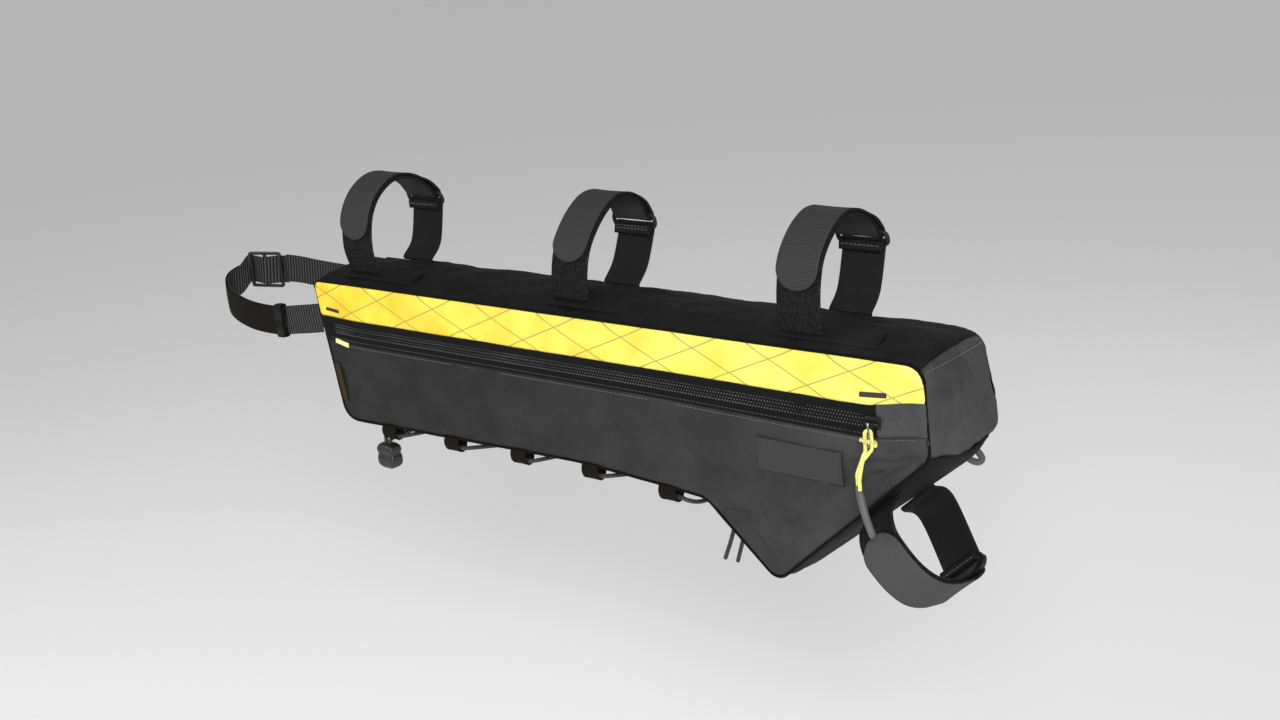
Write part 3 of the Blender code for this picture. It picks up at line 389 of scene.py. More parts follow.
# name, colour between and on the strands, pitch, roughness
yellowBraid = makeBraid("braided_yellow_cord", "BFB25A", "F2EC84", 0.0034, 0.6)
blackBraid = makeBraid("braided_elastic_cord", "161616", "2C2C2C", 0.0030, 0.65)


# spun thread: twisted yarn a little lighter than its cloth
def makeThread(name, hexCode):
    material, tree, shader = newMaterial(name, hexCode, 0.6, 0.0, 0.2)
    place = addNode(tree, "ShaderNodeTexCoord").outputs["Object"]
    twist = addNode(tree, "ShaderNodeTexNoise", {}, {"Scale": 3000.0, "Detail": 2.0}, {"Vector": place})
    layRelief(tree, shader, (twist.outputs["Fac"], 0.0001, 0.6))
    return material


blackThread = makeThread("spun_thread_black", "1C1C1C")
greyThread = makeThread("spun_thread_grey", "4C4C4C")
yellowThread = makeThread("spun_thread_yellow", "E8C840")
satinBlack = makeThread("satin_stitch_black", "121212")
satinCream = makeThread("satin_stitch_cream", "F0E4A0")
ribbonWeave = makeTape("folded_ribbon_ochre", "201B10", "463818", 0.0012, 0.00010, "X")
print("materials")


# meshes
def addPiece(name, mesh, nodes, matrix=None, smooth=True):
    # puts a mesh made in the bag's own lengths into the shared frame, riding on the body
    item = bpy.data.objects.new(name, mesh)
    bpy.context.scene.collection.objects.link(item)
    if matrix is not None:
        mesh.transform(matrix)
    mesh.transform(Matrix.Translation(shift))
    if smooth:
        mesh.shade_smooth()
    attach(item, "root")
    if nodes:
        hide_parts(*nodes)
    return item


def gridMesh(name, points, uvs, materials, materialOf=None, closed=False, capped=False):
    # a mesh of rows and columns; closed joins the last column to the first
    rows, columns = len(points), len(points[0])
    mesh = bpy.data.meshes.new(name)
    flat = [tuple(p) for row in points for p in row]
    faces, corners, picked = [], [], []
    span = columns if closed else columns - 1
    for i in range(rows - 1):
        for j in range(span):
            k = (j + 1) % columns
            faces.append((i * columns + j, i * columns + k, (i + 1) * columns + k, (i + 1) * columns + j))
            wrap = j + 1 if closed else k
            corners.append((uvs(i, j), uvs(i, wrap), uvs(i + 1, wrap), uvs(i + 1, j)))
            picked.append(materialOf(i, j) if materialOf else 0)
    if capped:
        faces.append(tuple(range(columns - 1, -1, -1)))
        faces.append(tuple(range((rows - 1) * columns, rows * columns)))
        corners.append(tuple(uvs(0, 0) for j in range(columns)))
        corners.append(tuple(uvs(rows - 1, 0) for j in range(columns)))
        picked = picked + [picked[0], picked[-1]]
    mesh.from_pydata(flat, [], faces)
    layer = mesh.uv_layers.new(name="UVMap")
    layer.data.foreach_set("uv", [value for face in corners for corner in face for value in corner])
    for material in materials:
        mesh.materials.append(material)
    mesh.polygons.foreach_set("material_index", picked)
    mesh.update()
    return mesh


def faceTowards(mesh, way, number=0):
    # turns all faces over if the one with this number looks away from the given way
    if mesh.polygons[number].normal.dot(Vector(way)) < 0:
        mesh.flip_normals()


def thicken(item, thickness):
    shell = item.modifiers.new("cloth", "SOLIDIFY")
    shell.thickness = thickness
    shell.offset = -1.0
    return item


def smoothLine(points, step):
    # evenly spaced points on a smooth curve through the given ones
    points = [Vector(p) for p in points]
    ends = [2 * points[0] - points[1]] + points + [2 * points[-1] - points[-2]]
    fine = []
    for k in range(1, len(ends) - 2):
        a, b, c, d = ends[k - 1:k + 3]
        for i in range(24):
            t = i / 24
            fine.append(0.5 * (2 * b + (c - a) * t + (2 * a - 5 * b + 4 * c - d) * t * t
                               + (3 * b - a - 3 * c + d) * t ** 3))
    fine.append(points[-1])
    runs = [0.0]
    for a, b in zip(fine, fine[1:]):
        runs.append(runs[-1] + (b - a).length)
    count = max(2, round(runs[-1] / step))
    result, k = [], 0
    for i in range(count + 1):
        wanted = runs[-1] * i / count
        while k < len(fine) - 2 and runs[k + 1] < wanted:
            k += 1
        span = runs[k + 1] - runs[k]
        result.append(fine[k].lerp(fine[k + 1], (wanted - runs[k]) / span if span else 0.0))
    return result


def headingsOf(line, cyclic=False):
    last = len(line) - 1
    result = []
    for i in range(len(line)):
        ahead = line[(i + 1) % len(line)] if cyclic else line[min(i + 1, last)]
        behind = line[i - 1] if cyclic else line[max(i - 1, 0)]
        result.append((ahead - behind).normalized())
    return result


def runsOf(line):
    runs = [0.0]
    for a, b in zip(line, line[1:]):
        runs.append(runs[-1] + (b - a).length)
    return runs


def tubeMesh(name, line, radius, material, sides=14, cyclic=False, roundEnds=True):
    # a round section carried along a line without twist; radius may vary with the run's share
    radiusAt = radius if callable(radius) else (lambda share: radius)
    if roundEnds and not cyclic:
        first = (line[1] - line[0]).normalized()
        last = (line[-1] - line[-2]).normalized()
        a, b = radiusAt(0.0), radiusAt(1.0)
        line = [line[0], line[0] + first * a * 0.12, line[0] + first * a * 0.5] + line[1:-1] + [
            line[-1] - last * b * 0.5, line[-1] - last * b * 0.12, line[-1]]
    headings = headingsOf(line, cyclic)
    runs = runsOf(line)
    side = headings[0].orthogonal().normalized()
    rows = []
    for i, (point, heading) in enumerate(zip(line, headings)):
        side = (side - heading * side.dot(heading)).normalized()
        other = heading.cross(side)
        reach = radiusAt(runs[i] / runs[-1])
        if roundEnds and not cyclic:
            reach *= (0.72, 0.90, 1.0)[min(2, i, len(line) - 1 - i)]
        angles = [2 * math.pi * j / sides for j in range(sides)]
        rows.append([point + (side * math.cos(angle) + other * math.sin(angle)) * reach for angle in angles])
    if cyclic:
        # the last row meets the first with the least turn
        rows.append(rows[0])
        runs.append(runs[-1] + (line[0] - line[-1]).length)
    return gridMesh(name, rows, lambda i, j: (runs[i], j / sides), [material], closed=True, capped=not cyclic)


def strapMesh(name, line, across, width, thickness, faceMaterial, backMaterial, tab=0.0, bow=0.0, flip=False):
    # a band with rounded edges; its face and its back may differ, and its end may be a round tab
    runs = runsOf(line)
    headings = headingsOf(line)
    lanes, turns = 9, 3
    rim = thickness / 2
    section = [(-1 + 2 * i / (lanes - 1), 0.0, 1.0) for i in range(lanes)]
    section += [(1.0, math.sin(math.pi * i / (turns + 1)), math.cos(math.pi * i / (turns + 1)))
                for i in range(1, turns + 1)]
    section += [(1 - 2 * i / (lanes - 1), 0.0, -1.0) for i in range(lanes)]
    section += [(-1.0, -math.sin(math.pi * i / (turns + 1)), -math.cos(math.pi * i / (turns + 1)))
                for i in range(1, turns + 1)]
    rows = []
    for i, (point, heading) in enumerate(zip(line, headings)):
        out = across.cross(heading).normalized() * (-1 if flip else 1)
        left = runs[-1] - runs[i]
        half = width / 2 - rim
        if tab and left < tab:
            half *= math.sqrt(max(0.02, 1 - (1 - left / tab) ** 2))
        row = []
        for lane, side, level in section:
            lift = bow * (1 - lane * lane)
            row.append(point + across * (lane * half + side * rim) + out * (level * rim + lift))
        rows.append(row)
    count = len(section)

    def uv(i, j):
        lane = section[j % count][0]
        return (runs[i], lane * width / 2 + (width if j >= lanes + turns else 0.0))

    return gridMesh(name, rows, uv, [faceMaterial, backMaterial],
                    lambda i, j: 1 if lanes + turns <= j < 2 * lanes + turns else 0, closed=True, capped=True)


def stitchMesh(name, line, outs, material, pitch=0.0032, thread=0.00032):
    # sewn stitches: short rounded threads that dip into the cloth at both ends
    runs = runsOf(line)
    count = max(1, int(runs[-1] / pitch))
    points, faces = [], []
    k = 0
    for n in range(count):
        middle = (n + 0.5) * runs[-1] / count
        while k < len(line) - 2 and runs[k + 1] < middle:
            k += 1
        heading = (line[k + 1] - line[k]).normalized()
        at = line[k] + heading * (middle - runs[k])
        out = outs[k] if isinstance(outs, (list, tuple)) else outs
        side = heading.cross(out).normalized()
        base = len(points)
        for ahead, size, sink in ((-0.42, 0.35, -0.5), (-0.3, 0.85, 0.0), (0.0, 1.0, 0.25), (0.3, 0.85, 0.0),
                                  (0.42, 0.35, -0.5)):
            for j in range(6):
                angle = math.pi * j / 3
                points.append(at + heading * ahead * pitch
                              + out * thread * (math.sin(angle) * size * 0.8 + sink)
                              + side * thread * math.cos(angle) * size)
        for i in range(4):
            for j in range(6):
                faces.append((base + i * 6 + j, base + i * 6 + (j + 1) % 6,
                              base + (i + 1) * 6 + (j + 1) % 6, base + (i + 1) * 6 + j))
    mesh = bpy.data.meshes.new(name)
    mesh.from_pydata([tuple(p) for p in points], [], faces)
    mesh.materials.append(material)
    return mesh


# the bag's outline and its relief
# corner: forward, up, radius, crown of the strip of cloth that crosses the bag there
corners = (
    (0.0, 0.0, 0.005, 0.0060), (bag["length"], 0.0, 0.011, 0.0100),
    (bag["length"] + bag["frontLean"], -bag["frontHeight"], 0.012, 0.0105),
    (0.398, -bag["tipHeight"], 0.009, 0.0040), (0.346, -0.104, 0.018, 0.0030),
    (0.240, -0.0985, 0.250, 0.0030), (bag["rearSetback"], -bag["rearHeight"], 0.013, 0.0030),
)
outlineStep = 0.0045


def outlineRing():
    ring, crowns, arcs = [], [], []
    for k, (x, z, radius, crown) in enumerate(corners):
        corner = Vector((x, z))
        before = Vector(corners[k - 1][:2])
        after = Vector(corners[(k + 1) % len(corners)][:2])
        arrive, leave = (corner - before).normalized(), (after - corner).normalized()
        turn = arrive.angle(leave)
        start = corner - arrive * radius * math.tan(turn / 2)
        centre = corner + (leave - arrive).normalized() * (radius / math.cos(turn / 2))
        facets = max(6, int(radius * turn / 0.0025))
        first = len(ring)
        sign = 1.0 if arrive.cross(leave) > 0 else -1.0
        for i in range(facets + 1):
            angle = sign * turn * i / facets
            arm = start - centre
            ring.append(centre + Vector((arm.x * math.cos(angle) - arm.y * math.sin(angle),
                                         arm.x * math.sin(angle) + arm.y * math.cos(angle))))
            crowns.append(crown)
        arcs.append((first, len(ring) - 1))
        following = corners[(k + 1) % len(corners)]
        beyond = Vector(corners[(k + 2) % len(corners)][:2])
        nextTurn = leave.angle((beyond - after).normalized())
        end = after - leave * following[2] * math.tan(nextTurn / 2)
        run = end - ring[-1]
        parts = max(1, round(run.length / outlineStep))
        base = ring[-1].copy()
        for i in range(1, parts):
            share = i / parts
            ring.append(base + run * share)
            height = crown + (following[3] - crown) * share
            if k == 0:
                height = crown + (following[3] - crown) * ease(share * 8)
            crowns.append(height)
    return ring, crowns, arcs


ring, crowns, arcs = outlineRing()
lowerEdge = list(reversed(ring[arcs[2][0]:arcs[6][1] + 1]))
upperEdge = ring[arcs[0][0]:arcs[1][1] + 1]


def rearEdge(z):
    return bag["rearSetback"] * -z / bag["rearHeight"]


def frontEdge(z):
    return bag["length"] + bag["frontLean"] * -z / bag["frontHeight"]


def bottomHeight(x):
    for a, b in zip(lowerEdge, lowerEdge[1:]):
        if a.x <= x <= b.x and b.x > a.x:
            return a.y + (b.y - a.y) * (x - a.x) / (b.x - a.x)
    return lowerEdge[0].y if x < lowerEdge[0].x else lowerEdge[-1].y


def flare(x, z):
    return bag["frontFlare"] * ease((x / bag["length"] - 0.55) / 0.40) * ease(-z / bag["frontHeight"])


# Broad folds: forward and down as shares of the bag's length and tip height, degrees,
# half length and half width as shares of the length, depth as a share of the width
broadFolds = (
    (0.700, 0.800, 12.0, 0.080, 0.022, -0.045), (0.790, 0.620, -8.0, 0.090, 0.030, 0.030),
    (0.940, 0.420, 40.0, 0.050, 0.020, -0.030), (0.480, 0.480, -35.0, 0.070, 0.025, -0.022),
    (0.250, 0.520, 20.0, 0.080, 0.030, -0.018),
)
# Sharp creases of the lower panels, in the same columns; depth is metres
sharpCreases = (
    (0.742, 0.745, 9.0, 0.050, 0.0075, -0.0017), (0.822, 0.715, -38.0, 0.028, 0.0070, -0.0014),
    (0.815, 0.610, 2.0, 0.050, 0.0060, 0.0010), (0.830, 0.655, -12.0, 0.040, 0.0050, -0.0008),
    (0.560, 0.500, -52.0, 0.045, 0.0080, -0.0009), (0.590, 0.560, -46.0, 0.040, 0.0060, -0.0008),
    (0.530, 0.440, -60.0, 0.030, 0.0055, 0.0007), (0.965, 0.345, -14.0, 0.040, 0.0050, -0.0011),
    (0.965, 0.385, 8.0, 0.038, 0.0050, -0.0012), (0.955, 0.430, 28.0, 0.040, 0.0050, -0.0011),
    (0.945, 0.330, -4.0, 0.030, 0.0035, 0.0006), (0.900, 0.480, 50.0, 0.040, 0.0070, -0.0009),
    (0.700, 0.540, -20.0, 0.050, 0.0060, -0.0007), (0.665, 0.640, -30.0, 0.035, 0.0070, 0.0008),
    (0.360, 0.560, -28.0, 0.050, 0.0090, -0.0007), (0.330, 0.430, 12.0, 0.060, 0.0080, 0.0006),
    (0.150, 0.500, 34.0, 0.050, 0.0080, -0.0008), (0.110, 0.400, 62.0, 0.030, 0.0060, -0.0007),
    (0.210, 0.610, -8.0, 0.060, 0.0070, -0.0006), (0.060, 0.560, 78.0, 0.035, 0.0060, -0.0009),
    (0.450, 0.620, 5.0, 0.055, 0.0060, 0.0006), (0.780, 0.860, -48.0, 0.030, 0.0060, -0.0010),
    (0.740, 0.900, 62.0, 0.026, 0.0050, -0.0008), (0.860, 0.560, 40.0, 0.040, 0.0070, 0.0008),
)


def foldSum(x, z, folds, scale):
    total = 0.0
    for forward, down, degrees, length, width, depth in folds:
        dx = x - forward * bag["length"]
        dz = z + down * bag["tipHeight"]
        if abs(dx) + abs(dz) > 3.2 * length * bag["length"]:
            continue
        turn = math.radians(degrees)
        along = (dx * math.cos(turn) + dz * math.sin(turn)) / (length * bag["length"])
        aside = (dz * math.cos(turn) - dx * math.sin(turn)) / (width * bag["length"])
        total += depth * scale * math.exp(-along * along - aside * aside)
    return total


def sideDepth(x, z):
    floor = bottomHeight(x)
    rise = min(1.0, max(0.0, (z - floor) / -floor))
    across = 1.0 - (2.0 * rise - 1.0) ** 4
    ends = ease((x - rearEdge(z)) / bag["bulgeFade"]) * ease((frontEdge(z) - x) / bag["bulgeFade"])
    depth = flare(x, z) + bag["sideBulge"] * across * ends
    low = max(0.0, min(1.0, (-bag["zipBottom"] - z) / (0.20 * bag["tipHeight"])))
    low = low * min(1.0, across * 1.5) * ends
    return depth + foldSum(x, z, broadFolds, bag["width"]) * low


def ripple(x, z, seed, coarse, fine):
    # small uneven creasing of the cloth, coarse and fine heights in metres
    big = noise.fractal(Vector((x * 22, z * 34, seed)), 0.9, 2.0, 3)
    small = noise.fractal(Vector((x * 95, z * 120, seed + 7.0)), 0.8, 2.1, 3)
    return big * coarse + small * fine


def seamRoll(away, reach, depth):
    # cloth turns in towards a seam over the last few millimetres
    if away >= reach:
        return 0.0
    share = 1.0 - away / reach
    return depth * share * share


def crownShare(column):
    return 1.0 - abs(column) ** 2.6


def gusset(name, first, last, material, seed):
    # one strip of cloth across the bag, from the middle of one corner to that of another
    count = len(ring)
    start = (arcs[first][0] + arcs[first][1]) // 2
    end = (arcs[last][0] + arcs[last][1]) // 2
    if end < start:
        end += count
    lanes = [-1 + 2 * i / 40 for i in range(41)]
    lanes = [math.copysign(abs(lane) ** 0.85, lane) for lane in lanes]
    rows, runs = [], [0.0]
    for i in range(start, end + 1):
        at = ring[i % count]
        tangent = (ring[(i + 1) % count] - ring[(i - 1) % count]).normalized()
        normal = Vector((-tangent.y, tangent.x))
        if rows:
            runs.append(runs[-1] + (at - ring[(i - 1) % count]).length)
        fromEnd = min(i - start, end - i) * outlineStep
        half = halfWidth - 0.0006 + flare(at.x, at.y)
        row = []
        for lane in lanes:
            y = half * lane
            rise = crowns[i % count] * crownShare(lane) - seamRoll((1 - abs(lane)) * half, 0.004, 0.0012)
            calm = min(1.0, (1 - abs(lane)) * half / 0.006)
            rise += ripple(at.x - at.y, y * 1.4, seed, 0.0017, 0.00045) * calm
            rise -= seamRoll(fromEnd, 0.003, 0.0005)
            row.append((at.x + normal.x * rise, y, at.y + normal.y * rise))
        rows.append(row)
    mesh = gridMesh(name, rows, lambda i, j: (runs[i], lanes[j] * halfWidth), [material])
    item = addPiece(name + "_cloth", mesh, [name])
    away = Vector(rows[len(rows) // 2][len(lanes) // 2]) - bagMiddle
    faceTowards(mesh, away, len(mesh.polygons) // 2)
    return thicken(item, 0.0012)


# the top and down-tube strips take the packcloth copy darkened as painted shade, the front strip the copy
# lightened as painted light
for name, first, last, material, seed in (
        ("top_panel", 0, 1, shadedTopCloth, 1.0), ("front_panel", 1, 2, litFrontCloth, 2.0),
        ("down_tube_panel", 2, 3, shadedTopCloth, 3.0), ("belly_panel", 3, 6, packcloth, 4.0),
        ("rear_panel", 6, 0, packcloth, 5.0)):
    gusset(name, first, last, material, seed)
print("top, front, slope, belly and rear cloth")


def seamRise(x):
    # the side's seams lift over the last few centimetres before the front
    return 0.0040 * ease((x - 0.466) / 0.036)


def underLine(line, z):
    left, right = rearEdge(z), frontEdge(z)
    span = line[-1].x - line[0].x
    places = [left + (right - left) * (p.x - line[0].x) / span for p in line]
    return [Vector((x, z + seamRise(x))) for x in places]


def sideBand(name, side, topLine, bottomLine, rowsCount, relief, materials, node, materialOf=None):
    # cloth between two lines of the side outline; relief gives what it stands out at a place
    rows = []
    for i in range(rowsCount + 1):
        level = i / rowsCount
        row = []
        for top, bottom in zip(topLine, bottomLine):
            at = bottom.lerp(top, level)
            stand = relief(at.x, at.y, level, (top - bottom).length)
            row.append((at.x, side * (halfWidth + sideDepth(at.x, at.y) + stand), at.y))
        rows.append(row)
    mesh = gridMesh(name, rows, lambda i, j: (rows[i][j][0], rows[i][j][2]), materials, materialOf)
    faceTowards(mesh, (0, side, 0))
    item = addPiece(name, mesh, [node])
    return thicken(item, 0.0010)


zipSpec = {"garageEnd": 0.4720, "flap": 0.0006, "valley": 0.0002, "coil": 0.0006}


def zipRelief(x, z, level, height, seed):
    # from the lower fold up: turned flap, tape, two coil rows either side of the zip's line, tape
    flapEdge = 0.20
    lift = zipSpec["flap"] * ease(level / 0.06) * (1 - ease((level - flapEdge) / 0.07))
    if x < zipSpec["garageEnd"]:
        rows = bump((level - 0.50) / 0.10) + bump((level - 0.72) / 0.10)
        lift += zipSpec["coil"] * rows
        lift -= zipSpec["valley"] * bump((level - 0.61) / 0.03)
    else:
        lift += 0.0007 + 0.0005 * bump((level - 0.30) / 0.08) - 0.0004 * bump((level - 0.55) / 0.10)
    lift -= seamRoll((1 - level) * height, 0.003, 0.0009)
    return lift + ripple(x, z, seed, 0.0005, 0.00015)


def endRoll(x, z):
    # the cloth's turn towards the rear and front seams
    return seamRoll(x - rearEdge(z), 0.003, 0.0010) + seamRoll(frontEdge(z) - x, 0.003, 0.0010)


for word, side, seed in (("right", -1, 11.0), ("left", 1, 23.0)):

    def upperRelief(x, z, level, height):
        calm = min(1.0, level * height / 0.004, (1 - level) * height / 0.004)
        return (ripple(x, z, seed, 0.0007, 0.00018) * calm
                - seamRoll((1 - level) * height, 0.0035, 0.0010) - seamRoll(level * height, 0.0022, 0.0007)
                - endRoll(x, z))

    def zipperRelief(x, z, level, height):
        return zipRelief(x, z, level, height, seed + 2) - endRoll(x, z)

    def lowerRelief(x, z, level, height):
        low = level * height
        high = (1 - level) * height
        calm = min(1.0, low / 0.010, high / 0.006, (x - rearEdge(z)) / 0.008 + 0.001)
        creases = foldSum(x + (0.0 if side < 0 else 0.006), z, sharpCreases, 2.4)
        return ((ripple(x, z, seed + 4, 0.0018, 0.00036) + creases) * max(0.0, calm)
                - seamRoll(low, 0.004, 0.0012) - seamRoll(high, 0.0025, 0.0006)
                - seamRoll(x - rearEdge(z), 0.003, 0.0010))

    upperLow = underLine(upperEdge, -bag["upperBand"])
    lowerHigh = underLine(lowerEdge, -bag["zipBottom"])
    sideBand(word + "_upper_cloth", side, upperEdge, upperLow, 22, upperRelief, [ripstop],
             word + "_upper_panel")
    dense = []
    for a, b in zip(upperLow, upperLow[1:]):
        dense += [a, a.lerp(b, 0.5)]
    dense.append(upperLow[-1])
    denseLow = underLine(dense, -bag["zipBottom"])
    # past the garage the zip band takes the packcloth copy lightened as painted light
    sideBand(word + "_zip_tape", side, dense, denseLow, 44, zipperRelief, [zipTape, litFrontCloth],
             word + "_zipper",
             lambda i, j: 1 if dense[j].x > zipSpec["garageEnd"] else 0)
    sideBand(word + "_lower_cloth", side, lowerHigh, lowerEdge, 74, lowerRelief, [packcloth],
             word + "_lower_panel")
print("side cloth and zips")


def sidePoint(x, z, side, lift=0.0):
    return Vector((x, side * (halfWidth + sideDepth(x, z) + lift), z))


# zip coil: a turn's foot and crown as half length along the bag, half height and lift off the tape
coilSpec = {
    "rows": (-0.0297, -0.0317, -0.0337, -0.0357), "count": 213, "start": 0.0200, "pitch": 0.0021,
    "stagger": 0.0010, "foot": (0.00040, 0.0006, 0.0006), "crown": (0.00018, 0.0003, 0.0018),
}
coilQuads = ((0, 1, 5, 4), (1, 2, 6, 5), (2, 3, 7, 6), (3, 0, 4, 7), (4, 5, 6, 7), (3, 2, 1, 0))


# binding: folded tape sewn over the edges, and the rows of stitches beside the seams
for word, side in (("right", -1), ("left", 1)):
    edge = [Vector((p.x, side * (halfWidth + flare(p.x, p.y) - 0.0009), p.y)) for p in ring]
    lifted = []
    for i, point in enumerate(edge):
        a, b = edge[i - 1], edge[(i + 1) % len(edge)]
        tangent = (b - a).normalized()
        outward = Vector((-tangent.z, 0.0, tangent.x))
        lifted.append(point + outward * (0.0004 + 0.0002 * noise.noise(point * 60)))
    topPart = lifted[arcs[0][0]:arcs[1][1] + 1]
    rest = lifted[arcs[1][1]:] + lifted[:arcs[0][0] + 1]
    addPiece(word + "_top_binding", tubeMesh(word + "_top_binding", topPart, 0.0012, smoothWebbing, 10),
             [])
    addPiece(word + "_seam_binding", tubeMesh(word + "_seam_binding", rest, 0.0009, smoothWebbing, 10),
             [])
    out = Vector((0, side, 0))
    for label, z, lift, fromX, toX, thread in (
            ("upper_low", -bag["upperBand"] + 0.0026, 0.0002, 0.010, 0.492, yellowThread),
            ("zip_low", -bag["zipBottom"] - 0.0028, 0.0002, 0.014, 0.498, greyThread),
            ("zip_flap", -bag["zipBottom"] + 0.0021, 0.0018, 0.014, 0.498, blackThread),
            ("zip_high", -bag["upperBand"] - 0.0024, 0.0003, 0.010, 0.492, blackThread)):
        places = [fromX + (toX - fromX) * i / 160 for i in range(161)]
        line = [sidePoint(x, z + seamRise(x), side, lift) for x in places]
        addPiece(word + "_" + label + "_stitches", stitchMesh(word + "_" + label, line, out, thread),
                 [])
    # rows of coil turns under the coat, each turn a small ridge painted light grey as a highlight on the
    # black coil
    foot, crown = coilSpec["foot"], coilSpec["crown"]
    for row, z in enumerate(coilSpec["rows"]):
        points, faces = [], []
        for i in range(coilSpec["count"]):
            x = coilSpec["start"] + coilSpec["pitch"] * i + coilSpec["stagger"] * (row % 2)
            base = len(points)
            face = sidePoint(x, z, side)
            for ahead, up, lift in (foot, crown):
                for sx, sz in ((-1, -1), (1, -1), (1, 1), (-1, 1)):
                    points.append(face + Vector((sx * ahead, side * lift, sz * up)))
            for quad in coilQuads:
                faces.append([base + k for k in (quad if side < 0 else quad[::-1])])
        turns = bpy.data.meshes.new("coil_turns")
        turns.from_pydata([tuple(p) for p in points], [], faces)
        turns.materials.append(coilHighlight)
        addPiece(word + "_coil_turns_" + str(row), turns, [], None, False)

# the stitches that cross the top of the front panel
across = []
start = (arcs[1][0] + arcs[1][1]) // 2 + int(0.006 / outlineStep)
at, after = ring[start], ring[start + 1]
tangent = (after - at).normalized()
for i in range(61):
    lane = -0.92 + 1.84 * i / 60
    rise = crowns[start] * crownShare(lane) + 0.0006
    across.append(Vector((at.x - tangent.y * rise, halfWidth * lane, at.y + tangent.x * rise)))
seam = stitchMesh("front_seam", across, Vector((-tangent.y, 0, tangent.x)), greyThread)
addPiece("front_seam_stitches", seam, [])
print("bindings and stitches")


# zip pulls
pullSpec = {
    "place": 0.473, "slider": (0.010, 0.0040, 0.0075), "tabLength": 0.015, "tabWidth": 0.0048,
    "tabThickness": 0.0010, "hole": 0.0032, "cord": 0.0022, "drop": 0.0331, "grip": 0.0042,
    "gripSpread": 0.0084, "gripDrop": 0.022, "knotRadius": 0.0040, "knotTurn": 1.35,
    "knotRise": 0.0040, "knotTail": 0.012, "knotDrop": 0.0066, "tabRim": 0.0084,
    "tabRise": 0.0020, "seat": 0.0003,
    "bridge": ((-0.42, 0.0), (-0.36, 0.42), (0.0, 0.50), (0.36, 0.42), (0.42, 0.0)),
}
# down from the tab's hole, sway along the bag, out from its side
pullLine = (
    (-0.010, 0.0, 0.0), (0.0113, 0.0, 0.0), (0.016, -0.0028, 0.0008), (0.023, -0.0055, 0.0030),
    (0.033, -0.0040, 0.0055), (0.042, 0.0, 0.0090), (0.050, 0.0050, 0.0120), (0.062, 0.0120, 0.0150),
)
# one leg of the cord: how far apart, what share of that, down from the hole, twist
pullLeg = (
    ("astride", 0.38, -0.0001, 0.0), ("astride", 0.78, 0.0005, 0.0), ("astride", 1.0, 0.0018, 0.0),
    ("astride", 1.0, 0.0105, 0.0), ("beside", 1.0, 0.0130, 0.50), ("beside", 1.0, 0.0155, 1.10),
    ("beside", 1.0, 0.0180, 1.5708), ("half", 1.0, 0.0265, 1.5708), ("half", 1.0, 0.0300, 1.5708),
    ("half", 1.0, 0.0331, 1.5708),
)


def roundedRectangle(length, width, radius, facets):
    points = []
    for k, (sx, sy) in enumerate(((1, 1), (-1, 1), (-1, -1), (1, -1))):
        for i in range(facets + 1):
            angle = math.pi / 2 * (k + i / facets)
            points.append((sx * (length / 2 - radius) + radius * math.cos(angle),
                           sy * (width / 2 - radius) + radius * math.sin(angle)))
    return points


def plateMesh(name, outline, thickness, holes, material, edge):
    # a flat plate with holes and rounded rims
    curve = bpy.data.curves.new(name, "CURVE")
    curve.dimensions = "2D"
    curve.fill_mode = "BOTH"
    curve.extrude = thickness / 2 - edge
    curve.bevel_depth = edge
    curve.bevel_resolution = 2
    curve.offset = -edge
    for loop in (outline, *holes):
        spline = curve.splines.new("POLY")
        spline.points.add(len(loop) - 1)
        for point, (x, y) in zip(spline.points, loop):
            point.co = (x, y, 0.0, 1.0)
        spline.use_cyclic_u = True
    carrier = bpy.data.objects.new(name + "_curve", curve)
    mesh = bpy.data.meshes.new_from_object(carrier)
    bpy.data.objects.remove(carrier)
    mesh.materials.clear()
    mesh.materials.append(material)
    return mesh


def boxMesh(name, size, radius, material, segments=4):
    mesh = bpy.data.meshes.new(name)
    x, y, z = (value / 2 for value in size)
    corner = [(sx * x, sy * y, sz * z) for sz in (-1, 1) for sx, sy in ((-1, -1), (1, -1), (1, 1), (-1, 1))]
    mesh.from_pydata(corner, [], [(3, 2, 1, 0), (4, 5, 6, 7), (0, 1, 5, 4), (1, 2, 6, 5), (2, 3, 7, 6),
                                  (3, 0, 4, 7)])
    carrier = bpy.data.objects.new(name + "_block", mesh)
    bpy.context.scene.collection.objects.link(carrier)
    edge = carrier.modifiers.new("round", "BEVEL")
    edge.width = radius
    edge.segments = segments
    bpy.context.view_layer.update()
    made = bpy.data.meshes.new_from_object(carrier.evaluated_get(bpy.context.evaluated_depsgraph_get()))
    bpy.data.objects.remove(carrier)
    made.materials.clear()
    made.materials.append(material)
    return made


def joinMeshes(name, meshes):
    # several meshes as one, each with its own material
    points, faces, picked, uvs, materials = [], [], [], [], []
    for mesh in meshes:
        base, first = len(points), len(materials)
        points += [tuple(v.co) for v in mesh.vertices]
        layer = mesh.uv_layers.active
        for polygon in mesh.polygons:
            faces.append([base + i for i in polygon.vertices])
            picked.append(first + polygon.material_index)
            for loop in polygon.loop_indices:
                uvs += list(layer.data[loop].uv) if layer else [0.0, 0.0]
        materials += list(mesh.materials)
    made = bpy.data.meshes.new(name)
    made.from_pydata(points, [], faces)
    made.uv_layers.new(name="UVMap").data.foreach_set("uv", uvs)
    for material in materials:
        made.materials.append(material)
    made.polygons.foreach_set("material_index", picked)
    return made


